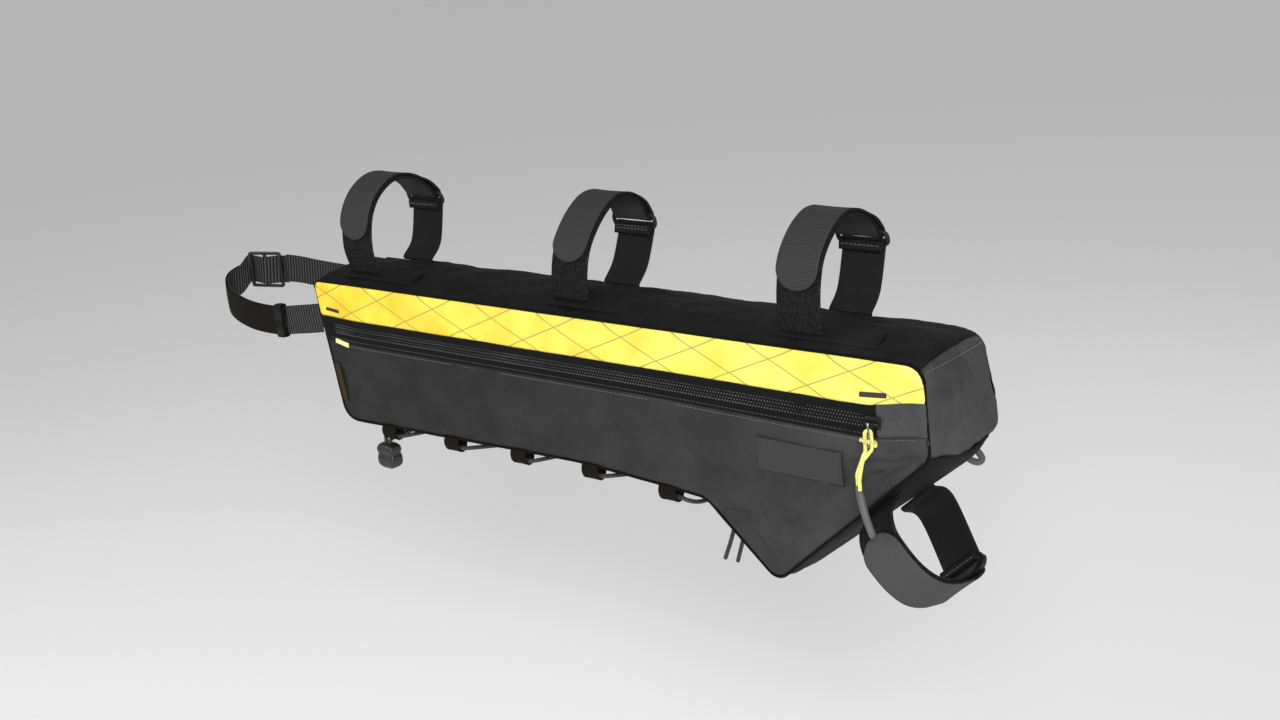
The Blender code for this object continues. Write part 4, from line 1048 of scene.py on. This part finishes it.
for word, side, turn in (("right", -1, math.radians(-50)), ("left", 1, math.radians(40))):
    z = -(bag["upperBand"] + bag["zipBottom"]) / 2
    length, height, width = pullSpec["slider"]
    face = side * (halfWidth + sideDepth(pullSpec["place"], z) + 0.0013)
    body = boxMesh("body", (length, height * 0.45, width), 0.0008, castMetal)
    body.transform(Matrix.Translation((0, -side * height * 0.26, 0)))
    arch = [(length * along, side * height * out, 0) for along, out in pullSpec["bridge"]]
    bridge = tubeMesh("bridge", smoothLine(arch, 0.0008), 0.0010, castMetal, 10)
    bridge.transform(Matrix.Translation((0, -side * 0.0004, 0)))
    slider = joinMeshes(word + "_slider", [body, bridge])
    addPiece(word + "_slider", slider, [word + "_zip_slider"],
             Matrix.Translation((pullSpec["place"], face + side * height / 2, z)))
    reach = (pullSpec["tabWidth"] * abs(math.sin(turn)) + pullSpec["tabThickness"] * math.cos(turn)) / 2
    tabY = face + side * (height + pullSpec["seat"] + reach)
    tabTop = z + pullSpec["tabRise"]
    holeAt = -pullSpec["tabLength"] / 2 + pullSpec["hole"] / 2 + pullSpec["tabRim"]
    outline = []
    for i in range(40):
        angle = 2 * math.pi * i / 40
        share = math.cos(angle)
        half = pullSpec["tabWidth"] / 2 * (1.0 - 0.30 * ease(0.5 + share / 2))
        outline.append((pullSpec["tabLength"] / 2 * share, half * math.copysign(abs(math.sin(angle)) ** 0.7,
                                                                               math.sin(angle))))
    hole = [(holeAt + pullSpec["hole"] / 2 * math.cos(math.pi * i / 10),
             pullSpec["hole"] / 2 * math.sin(math.pi * i / 10)) for i in range(20)]
    tab = plateMesh(word + "_tab", outline, pullSpec["tabThickness"], (hole,), tabSteel, 0.00022)
    stood = Matrix.Rotation(turn, 4, "Z") @ Matrix.Rotation(-math.pi / 2, 4, "Y")
    tabPlace = Matrix.Translation((pullSpec["place"], tabY, tabTop - pullSpec["tabLength"] / 2)) @ (
        stood @ Matrix.Rotation(math.pi / 2, 4, "X"))
    addPiece(word + "_tab", tab, [word + "_pull_tab"], tabPlace)
    top = Vector((pullSpec["place"], tabY, tabTop - pullSpec["tabLength"] / 2 + holeAt))
    spread = Vector((math.cos(turn), math.sin(turn), 0.0))
    aside = Vector((-math.sin(turn), math.cos(turn), 0.0))

    def hang(apart, down):
        for a, b in zip(pullLine, pullLine[1:]):
            if down <= b[0] or b is pullLine[-1]:
                share = (down - a[0]) / (b[0] - a[0])
                sway = a[1] + (b[1] - a[1]) * share
                out = a[2] + (b[2] - a[2]) * share
                return top + spread * apart + Vector((sway, side * out, -down))

    apartBy = {
        "astride": pullSpec["tabThickness"] / 2 + pullSpec["cord"] / 2 + 0.00015,
        "beside": pullSpec["cord"] / 2 + 0.00015, "half": pullSpec["gripSpread"] / 2,
    }
    leg = []
    for apart, share, down, twist in pullLeg:
        way = aside * math.cos(twist) + spread * math.sin(twist)
        leg.append((way * apartBy[apart] * share, down))
    points = [hang(0.0, down) - away for away, down in leg[::-1]]
    points = points + [hang(0.0, -0.0003)] + [hang(0.0, down) + away for away, down in leg]
    cordLine = smoothLine(points, 0.0009)
    cord = addPiece(word + "_cord", tubeMesh(word + "_cord", cordLine, pullSpec["cord"] / 2, yellowBraid, 14),
                    [word + "_pull_cord"])
    half = pullSpec["gripSpread"] / 2
    gripTop = pullSpec["drop"] + pullSpec["seat"]
    legs = [gripTop + (pullSpec["gripDrop"] - half) * share for share in (0.0, 0.15, 0.3, 0.65)]
    low = gripTop + pullSpec["gripDrop"] - half
    bend = [(-half * math.cos(math.pi * i / 8), low + half * math.sin(math.pi * i / 8)) for i in range(9)]
    grip = [hang(-half, d) for d in legs] + [hang(a, d) for a, d in bend]
    grip += [hang(half, d) for d in legs[::-1]]
    gripLine = smoothLine(grip, 0.0010)

    def gripRadius(share):
        taper = 0.86 + 0.14 * ease(min(share, 1 - share) / 0.12)
        return pullSpec["grip"] / 2 * (taper + 0.02 * math.sin(share * 150))

    grip = addPiece(word + "_grip", tubeMesh(word + "_grip", gripLine, gripRadius, gripRubber, 18),
                    [word + "_pull_grip"])
    knot = []
    middle = hang(0.0, pullSpec["knotDrop"])
    leave = Vector((0.91, 0.41 * side, 0.0))
    last = math.atan2(side * leave.dot(spread), -side * leave.dot(aside))
    for i in range(11):
        angle = last + side * math.pi * pullSpec["knotTurn"] * (1 - i / 10)
        knot.append(middle + spread * pullSpec["knotRadius"] * math.cos(angle)
                    + aside * pullSpec["knotRadius"] * math.sin(angle)
                    + Vector((0, 0, pullSpec["knotRise"] * (i / 10 - 0.5))))
    away = (knot[-1] - knot[-2]).normalized()
    for share in (0.35, 1.0):
        knot.append(knot[10] + away * pullSpec["knotTail"] * share)
    knotShape = tubeMesh(word + "_knot", smoothLine(knot, 0.0008), pullSpec["cord"] / 2, yellowBraid, 14)
    knotted = addPiece(word + "_knot", knotShape, [word + "_pull_knot"])
print("zip pulls")


# loop straps
strapSpec = {
    "places": (0.0453, 0.2392, 0.4168), "width": 0.030, "thickness": 0.0020, "reach": 0.050,
    "height": 0.072, "bar": 0.0028, "ringPitch": 0.0080, "tabRound": 0.013, "hem": 0.010,
    "stripLength": 0.070, "stripWidth": 0.014, "stripThickness": 0.0010, "seat": 0.0003,
    "slopePlace": 0.64, "stripAhead": 0.004,
}
# A strap's near side from its foot to the ring: across and up, as shares of reach and height
nearLines = (
    ((-0.47, 0.09), (-0.55, 0.34), (-0.53, 0.56), (-0.44, 0.74), (-0.25, 0.89),
     (0.04, 0.98), (0.34, 0.96), (0.62, 0.85), (0.78, 0.71)),
    ((-0.47, 0.09), (-0.47, 0.29), (-0.40, 0.50), (-0.26, 0.66), (-0.02, 0.82),
     (0.26, 0.92), (0.54, 0.91), (0.76, 0.81), (0.87, 0.66)),
    ((-0.51, 0.09), (-0.54, 0.32), (-0.50, 0.54), (-0.40, 0.72), (-0.17, 0.88),
     (0.12, 0.97), (0.40, 0.95), (0.68, 0.84), (0.83, 0.70)),
)
slopeLine = (
    (-0.66, 0.03), (-0.88, 0.12), (-1.05, 0.26), (-1.08, 0.44), (-1.05, 0.61), (-0.94, 0.75),
    (-0.72, 0.84), (-0.46, 0.868), (-0.24, 0.845),
)


def topSurface(y):
    return bag["topCrown"] * crownShare(min(1.0, abs(y) / halfWidth))


def stripSurface(y):
    return topSurface(y) + (0.0006 + strapSpec["stripThickness"] if y < 0 else 0.0)


def returnLayer(line, firstGap, laterGap, until):
    headings = headingsOf(line)
    keep = int(len(line) * until)
    result, run = [], 0.0
    for i in range(len(line) - 1, keep - 1, -1):
        if i < len(line) - 1:
            run += (line[i + 1] - line[i]).length
        normal = Vector((0, -headings[i].z, headings[i].y))
        gap = laterGap + (firstGap - laterGap) * (1 - ease(run / (4 * firstGap)))
        result.append(line[i] + normal * gap)
    return result


def halfTurn(end, heading, radius):
    normal = Vector((0, -heading.z, heading.y))
    centre = end + normal * radius
    turns = [(math.sin(math.pi * i / 10), math.cos(math.pi * i / 10)) for i in range(1, 10)]
    return [centre - normal * radius * cosine + heading * radius * sine for sine, cosine in turns], centre


# The anchor's foot and middle: across and up, as shares of reach and height; how far the ring leans,
# and the share of the strap's line that its returning layer leaves bare
topHold = {"foot": (0.56, 0.09), "middle": (0.78, 0.24), "lean": -0.34, "bare": 0.22}
slopeHold = {"foot": (0.02, 0.09), "middle": (0.20, 0.30), "lean": -0.39, "bare": 0.24}


def makeStrap(name, shares, hold, surface, matrix):
    thick = strapSpec["thickness"]
    line = [Vector((0, a * strapSpec["reach"], up * strapSpec["height"])) for a, up in shares]
    line[0].z = surface(line[0].y) + thick
    line = [Vector((0, line[0].y, surface(line[0].y) + 0.0004))] + line
    path = smoothLine(line, 0.0016)
    radius = strapSpec["bar"] / 2 + strapSpec["seat"] + thick / 2
    heading = headingsOf(path)[-1]
    bend, upperBar = halfTurn(path[-1], heading, radius)
    back = returnLayer(path, 2 * radius, thick + strapSpec["seat"], hold["bare"])
    across = Vector((1, 0, 0))
    whole = path + bend + back
    # the down-tube strap's back takes the copy lightened as painted light
    band = strapMesh(name + "_band", whole, across, strapSpec["width"], thick * 0.94, loopNap,
                     litTapeBack if name == "down_tube" else tapeBack,
                     strapSpec["tabRound"], 0.0003)
    addPiece(name + "_band", band, [name + "_strap"], matrix)
    lean = hold["lean"]
    down = (heading * math.sqrt(1 - lean * lean) + Vector((0, -heading.z, heading.y)) * lean).normalized()
    lowerBar = upperBar + down * strapSpec["ringPitch"]
    seat = Vector((0, hold["foot"][0] * strapSpec["reach"], 0))
    seat.z = surface(seat.y) + 0.0004
    middle = Vector((0, hold["middle"][0] * strapSpec["reach"], hold["middle"][1] * strapSpec["height"]))
    outside = Vector((0, -down.z, down.y))
    arrive = lowerBar + outside * radius
    approach = arrive + down * 0.35 * strapSpec["ringPitch"]
    leg = smoothLine([seat, seat + Vector((0, 0, thick)), middle, approach, arrive], 0.0016)
    rise = headingsOf(leg)[-1]
    bend, centre = halfTurn(leg[-1], rise, radius)
    move = lowerBar - centre
    leg = [point + move * ease(i / (len(leg) - 1)) for i, point in enumerate(leg)]
    bend = [point + move for point in bend]
    keep = max(0.0, 1 - strapSpec["hem"] / runsOf(leg)[-1])
    hem = returnLayer(leg, 2 * radius, thick + strapSpec["seat"], keep)
    anchor = strapMesh(name + "_anchor_tape", leg + bend + hem, across, strapSpec["width"], thick * 0.9,
                       anchorTape, anchorTape, 0.0, 0.0002)
    addPiece(name + "_anchor_tape", anchor, [name + "_anchor"], matrix)
    # two rows of stitches hold the hem and show on both of its faces
    for row, share in enumerate((0.25, 0.75)):
        at = hem[int((len(hem) - 1) * share)]
        k = max(1, int((len(leg) - 1) * (keep + (1 - keep) * (1 - share))))
        way = (leg[k] - leg[k - 1]).normalized()
        for sense, spot, label in ((1, leg[k], "outer"), (-1, at, "inner")):
            out = Vector((0, way.z, -way.y)) * sense
            line = [spot + out * (thick / 2 + 0.00005) + across * (strapSpec["width"] * (i / 20 - 0.5) * 0.9)
                    for i in range(21)]
            stitches = stitchMesh(name + "_hem", line, out, greyThread, 0.0028)
            addPiece(name + "_hem_" + label + str(row), stitches, [], matrix)
    ringLength = strapSpec["width"] + 2 * (strapSpec["seat"] * 3 + strapSpec["bar"] / 2)
    centre = (upperBar + lowerBar) / 2
    loop = [centre + across * x + down * y
            for x, y in roundedRectangle(ringLength, strapSpec["ringPitch"], 0.0030, 6)]
    ringShape = tubeMesh(name + "_ring_bar", loop, strapSpec["bar"] / 2, ringAcetal, 16, cyclic=True)
    addPiece(name + "_ring_bar", ringShape, [name + "_ring"], matrix)


for number, (x, shares) in enumerate(zip(strapSpec["places"], nearLines), 1):
    makeStrap("top_" + str(number), shares, topHold, stripSurface, Matrix.Translation((x, 0, 0)))
    # the sewn strip beside the strap's foot
    lowY = nearLines[0][0][0] * strapSpec["reach"] - strapSpec["stripWidth"] / 2 + strapSpec["thickness"]
    start = x - strapSpec["width"] / 2 - strapSpec["stripAhead"]
    rows, lanes = [], 13
    for k in range(57):
        run = strapSpec["stripLength"] * k / 56
        row = []
        for j in range(lanes):
            y = lowY + strapSpec["stripWidth"] * j / (lanes - 1)
            edge = min(j, lanes - 1 - j, k * 2, (56 - k) * 2) / 2
            lift = 0.0006 + strapSpec["stripThickness"] * ease(edge + 0.15)
            lift += ripple(start + run, y * 3, 41.0 + number, 0.0003, 0.0001)
            row.append((start + run, y, topSurface(y) + lift))
        rows.append(row)
    strip = gridMesh("strip_" + str(number), rows, lambda i, j: (i * 0.00125, j * 0.0011), [shadedTopCloth])
    faceTowards(strip, (0, 0, 1))
    thicken(addPiece("strip_" + str(number), strip, ["strap_strip_" + str(number)]), 0.0008)

slopeLow, slopeHigh = Vector(corners[3][:2]), Vector(corners[2][:2])
slopeWay = (slopeHigh - slopeLow).normalized()
slopeSpot = slopeLow.lerp(slopeHigh, strapSpec["slopePlace"])
slopeReach = strapSpec["slopePlace"] + 0.65 * strapSpec["width"] / (slopeHigh - slopeLow).length
slopeCrown = corners[3][3] + (corners[2][3] - corners[3][3]) * slopeReach
slopeHalf = halfWidth + flare(slopeSpot.x, slopeSpot.y)
slopeTurn = Matrix.Rotation(math.atan2(slopeWay.y, -slopeWay.x), 4, "Y")
makeStrap("down_tube", slopeLine, slopeHold,
          lambda y: slopeCrown * crownShare(min(1.0, abs(y) / slopeHalf)),
          Matrix.Translation((slopeSpot.x, 0, slopeSpot.y)) @ slopeTurn)
print("loop straps")


# rear webbing loop
loopSpec = {
    "width": 0.022, "thickness": 0.0014, "reach": 0.138, "sleeveFrom": 0.125, "sleeveTo": 0.525,
    "keeperAt": 0.145, "buckleAt": 0.598, "buckleLength": 0.030, "bar": 0.0024, "seat": 0.0003,
    "keeperLength": 0.008, "keeperWall": 0.0009, "windowRoom": 0.0018,
}
# back as a share of the reach, across in half widths of the bag, up in widths of the webbing
webbingLine = (
    (0.010, -0.89, -1.32), (0.16, -0.94, -1.45), (0.36, -0.94, -1.61), (0.61, -0.86, -1.61),
    (0.85, -0.60, -1.45), (0.99, -0.20, -1.20), (0.985, 0.20, -0.95), (0.86, 0.44, -0.68),
    (0.665, 0.60, -0.59), (0.435, 0.77, -0.75), (0.20, 0.88, -0.86), (0.010, 0.90, -0.91),
)
line = [Vector((-back * loopSpec["reach"], y * halfWidth, z * loopSpec["width"]))
        for back, y, z in webbingLine]
path = smoothLine(line, 0.0015)
headings, runs = headingsOf(path), runsOf(path)
upright = Vector((0, 0, 1))


def loopSpot(share):
    at = next(i for i, run in enumerate(runs) if run >= share * runs[-1])
    heading = headings[at]
    return path[at], heading, Vector((heading.y, -heading.x, 0)).normalized()


middle, heading, outside = loopSpot(loopSpec["buckleAt"])
heading = Vector((heading.x, heading.y, 0)).normalized()
lift = loopSpec["thickness"] / 2 + loopSpec["bar"] / 2 + loopSpec["seat"]
endBar = loopSpec["buckleLength"] / 2 - loopSpec["bar"]
bar = loopSpec["bar"]
weave = [middle + heading * ahead + outside * out for ahead, out in (
    (-endBar - bar * 2, -lift), (-endBar, -lift), (-bar, lift),
    (bar, lift), (endBar, -lift), (endBar + bar * 2, -lift))]
reach = endBar + bar * 3.5
centreRun = loopSpec["buckleAt"] * runs[-1]
keyPoints = ([p for p, run in zip(path, runs) if run < centreRun - reach][::4] + weave
             + [p for p, run in zip(path, runs) if run > centreRun + reach][::-4][::-1])
webbingPath = smoothLine(keyPoints, 0.0011)
addPiece("rear_webbing_band", strapMesh("rear_webbing_band", webbingPath, upright, loopSpec["width"],
                                        loopSpec["thickness"], ribbedWebbing, ribbedWebbing, 0.0, 0.00015),
         ["rear_webbing"])
layer = loopSpec["thickness"] + loopSpec["seat"]
sleeve = [p + Vector((-h.y, h.x, 0)).normalized() * layer for p, h, run in zip(path, headings, runs)
          if loopSpec["sleeveFrom"] * runs[-1] <= run <= loopSpec["sleeveTo"] * runs[-1]]
sleeveShape = strapMesh("rear_sleeve", sleeve, upright, loopSpec["width"] * 1.01, loopSpec["thickness"],
                        smoothWebbing, smoothWebbing, 0.0, 0.0003)
addPiece("rear_sleeve", sleeveShape, ["rear_webbing_end"])
spot, heading, outside = loopSpot(loopSpec["keeperAt"])
centre = spot - outside * layer / 2
keeper = [centre + outside * x + upright * z for x, z in
          roundedRectangle(2 * layer + loopSpec["windowRoom"], loopSpec["width"] + 0.0026, 0.0014, 4)]
rows = []
for j in range(9):
    offset = (j / 8 - 0.5) * loopSpec["keeperLength"]
    puff = 0.0003 * (1 - (2 * j / 8 - 1) ** 2)
    rows.append([point + heading * offset + (point - centre).normalized() * puff for point in keeper])
keeperMesh = gridMesh("keeper_band", rows, lambda i, j: (j * 0.002, i * 0.001), [anchorTape], closed=True)
keeperItem = addPiece("keeper_band", keeperMesh, ["webbing_keeper"])
thicken(keeperItem, loopSpec["keeperWall"]).modifiers["cloth"].offset = 0.0
middle, heading, outside = loopSpot(loopSpec["buckleAt"])
slot = endBar - bar / 2
tall = loopSpec["width"] + loopSpec["windowRoom"]
window = roundedRectangle(slot, tall, 0.0008, 3)
holes = [[(x + side * (slot + bar) / 2, y) for x, y in window] for side in (-1, 1)]
frameLine = roundedRectangle(loopSpec["buckleLength"], tall + 2 * bar, bar, 6)
buckle = plateMesh("slider_buckle", frameLine, bar, holes, acetal, 0.0006)
addPiece("slider_buckle", buckle, ["rear_buckle"],
         Matrix.Translation(middle) @ Matrix.Rotation(math.atan2(heading.y, heading.x), 4, "Z")
         @ Matrix.Rotation(math.pi / 2, 4, "X"))
print("rear loop")


# lacing under the belly
laceSpec = {
    "count": 5, "pitch": 0.0635, "first": 0.062, "width": 0.014, "drop": 0.0095, "thickness": 0.0012,
    "cord": 0.0029, "inset": 0.0026, "lock": (0.0195, 0.013, 0.0185), "lockGap": 0.0070, "seat": 0.0003,
    "rightDip": -0.0010, "leftDip": 0.0026, "button": 0.0024, "lockDepth": 0.003,
}
# The two strands from the lock to the first loops, from the loop's edge: forward and up,
# and forward, across and up; then the free tails: forward, across and down from a strand's end
lockRise = ((-0.00200, -0.0046), (-0.00190, -0.0022), (-0.00150, 0.0002), (0.00020, 0.0008))
lockCross = (
    (0.00145, -0.0324, -0.0062), (0.0015, -0.0314, -0.0052), (0.0016, -0.0290, -0.0045),
    (0.0024, -0.0250, -0.0034), (0.0030, -0.0140, -0.0040), (0.0015, 0.0, -0.0046),
    (-0.0020, 0.0140, -0.0036), (-0.0044, 0.0250, -0.0014), (-0.0028, 0.0316, 0.0),
)
rightTail = (
    (0.0045, 0.0010, 0.0012), (0.0080, 0.0080, 0.0040), (0.0085, 0.0250, 0.0070), (0.0060, 0.0420, 0.0110),
    (0.0025, 0.0540, 0.0190), (-0.0015, 0.0585, 0.0330), (-0.0070, 0.0590, 0.0500), (-0.0140, 0.0585, 0.0680),
)
leftTail = (
    (0.0030, 0.0000, 0.0010), (0.0058, -0.0005, 0.0045), (0.0066, -0.0010, 0.0130), (0.0050, -0.0010, 0.0280),
    (-0.0005, -0.0005, 0.0480), (-0.0085, 0.0, 0.0715),
)


def laceLevel(x):
    return bottomHeight(x) - laceSpec["drop"] + laceSpec["thickness"] / 2 + laceSpec["cord"] / 2


for word, side in (("right", -1), ("left", 1)):
    for number in range(laceSpec["count"]):
        x = laceSpec["first"] + laceSpec["pitch"] * number
        y = side * (halfWidth - 0.002)
        top = bottomHeight(x) - laceSpec["seat"]
        drop = laceSpec["drop"]
        line = [Vector((x, y + side * out, top - down)) for out, down in (
            (0.0026, -0.0008), (0.0036, drop * 0.45), (0.0018, drop * 0.9), (-0.0006, drop),
            (-0.0030, drop * 0.9), (-0.0048, drop * 0.45), (-0.0030, -0.0006))]
        name = word + "_lace_tape_" + str(number + 1)
        shape = strapMesh(name, smoothLine(line, 0.0008), Vector((1, 0, 0)), laceSpec["width"],
                          laceSpec["thickness"], smoothWebbing, smoothWebbing, 0.0, 0.0002)
        addPiece(name, shape, [word + "_lace_loop_" + str(number + 1)])

sideY = halfWidth - laceSpec["inset"]
strands = ([], [])
for strand, (firstSide, dip) in zip(strands, ((-1, laceSpec["rightDip"]), (1, laceSpec["leftDip"]))):
    side = firstSide
    for number in range(laceSpec["count"]):
        x = laceSpec["first"] + laceSpec["pitch"] * number
        level = laceLevel(x)
        for share in (-0.55, 0.0, 0.55):
            strand.append(Vector((x + laceSpec["width"] * share, side * sideY, level)))
        if number < laceSpec["count"] - 1:
            middle = x + laceSpec["pitch"] / 2
            strand.append(Vector((middle - laceSpec["pitch"] * 0.18, side * sideY * 0.5, level - dip * 0.6)))
            strand.append(Vector((middle, 0.0, level - dip)))
            strand.append(Vector((middle + laceSpec["pitch"] * 0.18, -side * sideY * 0.5, level - dip * 0.6)))
        side = -side
near, far = strands
level = laceLevel(laceSpec["first"])
beside = laceSpec["cord"] / 2 + laceSpec["seat"]
loopEdge = laceSpec["first"] - laceSpec["width"] / 2
lockX = loopEdge - laceSpec["seat"]
lockTop = level - laceSpec["lockGap"]
straightUp = [(x, -sideY, up) for x, up in lockRise]
for strand, aside, way in ((near, -beside, straightUp), (far, beside, lockCross)):
    strand[0:1] = [Vector((lockX + aside, -sideY, lockTop - laceSpec["lockDepth"]))] + [
        Vector((loopEdge + x, y, level + up)) for x, y, up in way]
for word, strand in (("right", near), ("left", far)):
    lace = tubeMesh(word + "_lace", smoothLine(strand, 0.0016), laceSpec["cord"] / 2, blackBraid, 12)
    addPiece(word + "_lace", lace, ["lace_" + word])

# the lock: a ribbed barrel body with a push button at its foot
lockWidth, lockDepth, lockLength = laceSpec["lock"]
rows = []
for i in range(25):
    share = i / 24
    z = lockLength * (0.5 - share)
    swell = (1 - abs(2 * share - 1) ** 5) ** 0.5 if 0 < share < 1 else 0.0
    swell = 0.30 + 0.70 * swell - 0.10 * bump((share - 0.42) / 0.10)
    row = []
    for j in range(48):
        angle = 2 * math.pi * j / 48
        groove = 1.0 - 0.16 * (0.5 + 0.5 * math.cos(angle * 4)) * ease(min(share, 1 - share) / 0.2)
        cosine, sine = math.cos(angle), math.sin(angle)
        row.append((lockWidth / 2 * swell * groove * math.copysign(abs(cosine) ** 0.7, cosine),
                    lockDepth / 2 * swell * groove * math.copysign(abs(sine) ** 0.7, sine), z))
    rows.append(row)
lockBody = gridMesh("lock_body", rows, lambda i, j: (i * 0.001, j * 0.001), [acetal],
                    closed=True, capped=True)
faceTowards(lockBody, lockBody.polygons[48].center, 48)
button = boxMesh("button", (lockWidth * 0.5, lockDepth * 0.62, laceSpec["button"]), 0.0009, acetal)
button.transform(Matrix.Translation((0, 0, -lockLength / 2 + 0.0010)))
addPiece("lace_lock", joinMeshes("lace_lock", [lockBody, button]), ["cord_lock"],
         Matrix.Translation((lockX, -sideY, lockTop - laceSpec["seat"] - lockLength / 2)))

for word, strand, shape in (("right", near, rightTail), ("left", far, leftTail)):
    start = Vector(strand[-1])
    ahead = (start - strand[-2]).normalized()
    points = [start + ahead * laceSpec["seat"], start + ahead * laceSpec["cord"] * 0.6]
    points += [start + Vector((forward, across, -down)) for forward, across, down in shape]
    tailLine = smoothLine(points, 0.0013)
    tail = addPiece(word + "_tail", tubeMesh(word + "_tail", tailLine, laceSpec["cord"] / 2, blackBraid, 12),
                    ["lace_tail_" + word])
print("lacing")


# patch and tag
patchSpec = {
    "length": 0.060, "height": 0.0205, "thickness": 0.0010, "place": 0.4215,
    "drop": 0.437 * bag["tipHeight"], "round": 0.0022, "seat": 0.0006, "border": 0.0022,
}
rows = []
for i in range(61):
    row = []
    x = patchSpec["place"] + patchSpec["length"] * (i / 60 - 0.5)
    for j in range(25):
        z = -patchSpec["drop"] + patchSpec["height"] * (0.5 - j / 24)
        border = min(i, 60 - i) * patchSpec["length"] / 60, min(j, 24 - j) * patchSpec["height"] / 24
        edge = min(border)
        lift = patchSpec["seat"] + patchSpec["thickness"] * ease((edge + 0.0004) / 0.0012)
        lift -= 0.00035 * bump((edge - patchSpec["border"]) / 0.0006)
        overX = abs(x - patchSpec["place"]) - (patchSpec["length"] / 2 - patchSpec["round"])
        overZ = abs(z + patchSpec["drop"]) - (patchSpec["height"] / 2 - patchSpec["round"])
        px, pz = x, z
        if overX > 0 and overZ > 0:
            share = max(overX, overZ) / math.hypot(overX, overZ) - 1
            px += math.copysign(overX * share, x - patchSpec["place"])
            pz += math.copysign(overZ * share, z + patchSpec["drop"])
        row.append((px, -(halfWidth + sideDepth(px, pz) + lift), pz))
    rows.append(row)
patchMesh = gridMesh("bare_patch", rows, lambda i, j: (i * 0.001, j * 0.00085), [patchRubber])
faceTowards(patchMesh, (0, -1, 0))
thicken(addPiece("bare_patch", patchMesh, ["side_patch"]), 0.0008)
halfLong = patchSpec["length"] / 2 - patchSpec["border"]
halfTall = patchSpec["height"] / 2 - patchSpec["border"]
border = []
for a, b in zip(((-1, 1), (1, 1), (1, -1), (-1, -1)), ((1, 1), (1, -1), (-1, -1), (-1, 1))):
    for i in range(30):
        x = patchSpec["place"] + (a[0] + (b[0] - a[0]) * i / 30) * halfLong
        z = -patchSpec["drop"] + (a[1] + (b[1] - a[1]) * i / 30) * halfTall
        border.append(sidePoint(x, z, -1, 0.0013))
border.append(border[0])
addPiece("patch_stitches", stitchMesh("patch_stitches", border, Vector((0, -1, 0)), blackThread, 0.0030),
         [])

# the folded ribbon in the rear seam
tagSpec = {"length": 0.028, "width": 0.005, "drop": 0.060, "inset": 0.003, "lift": 0.0014}
rows = []
for i in range(29):
    z = -tagSpec["drop"] - tagSpec["length"] * i / 28
    x = rearEdge(z) + tagSpec["inset"]
    y = -(halfWidth + sideDepth(x + tagSpec["width"] / 2, z) + tagSpec["lift"])
    rows.append([(x + tagSpec["width"] * j / 6, y, z) for j in range(7)])
tagMesh = gridMesh("ribbon_tag", rows, lambda i, j: (i * 0.001, j * 0.0008), [ribbonWeave])
faceTowards(tagMesh, (0, -1, 0))
thicken(addPiece("ribbon_tag", tagMesh, ["side_tag"]), 0.0008)


# bar tacks: satin stitches laid side by side across the bar
def barTack(name, x, z, length, tall, degrees, material, lift):
    turn = math.radians(degrees)
    count = int(length / 0.0007) * 4
    rows, lanes = [], 9
    for i in range(count + 1):
        along = length * (i / count - 0.5)
        ridge = 0.5 + 0.5 * math.cos(2 * math.pi * i / 4)
        row = []
        for j in range(lanes):
            aside = tall * (j / (lanes - 1) - 0.5)
            px = x + along * math.cos(turn) - aside * math.sin(turn)
            pz = z + along * math.sin(turn) + aside * math.cos(turn)
            arch = math.sqrt(max(0.0, 1 - (2 * j / (lanes - 1) - 1) ** 2))
            end = ease(min(i, count - i) / 3)
            row.append(sidePoint(px, pz, -1, lift + (0.0003 + 0.0009 * arch + 0.0003 * ridge) * end))
        rows.append(row)
    mesh = gridMesh(name, rows, lambda i, j: (i * 0.0002, j * 0.0004), [material])
    faceTowards(mesh, (0, -1, 0))
    thicken(addPiece(name, mesh, []), 0.0003)


# name, forward, up, length, height, degrees, thread, lift off the cloth
tacks = (
    ("rear_tack", 0.0190, -0.0194, 0.0145, 0.0025, -3.0, satinBlack, 0.0005),
    ("front_tack", 0.4715, -0.0183, 0.0172, 0.0030, 3.0, satinBlack, 0.0005),
    ("rear_tack_cream", 0.0255, -0.0430, 0.0145, 0.0040, -8.0, satinCream, 0.0009),
)
for tack in tacks:
    barTack(*tack)
print("trim")
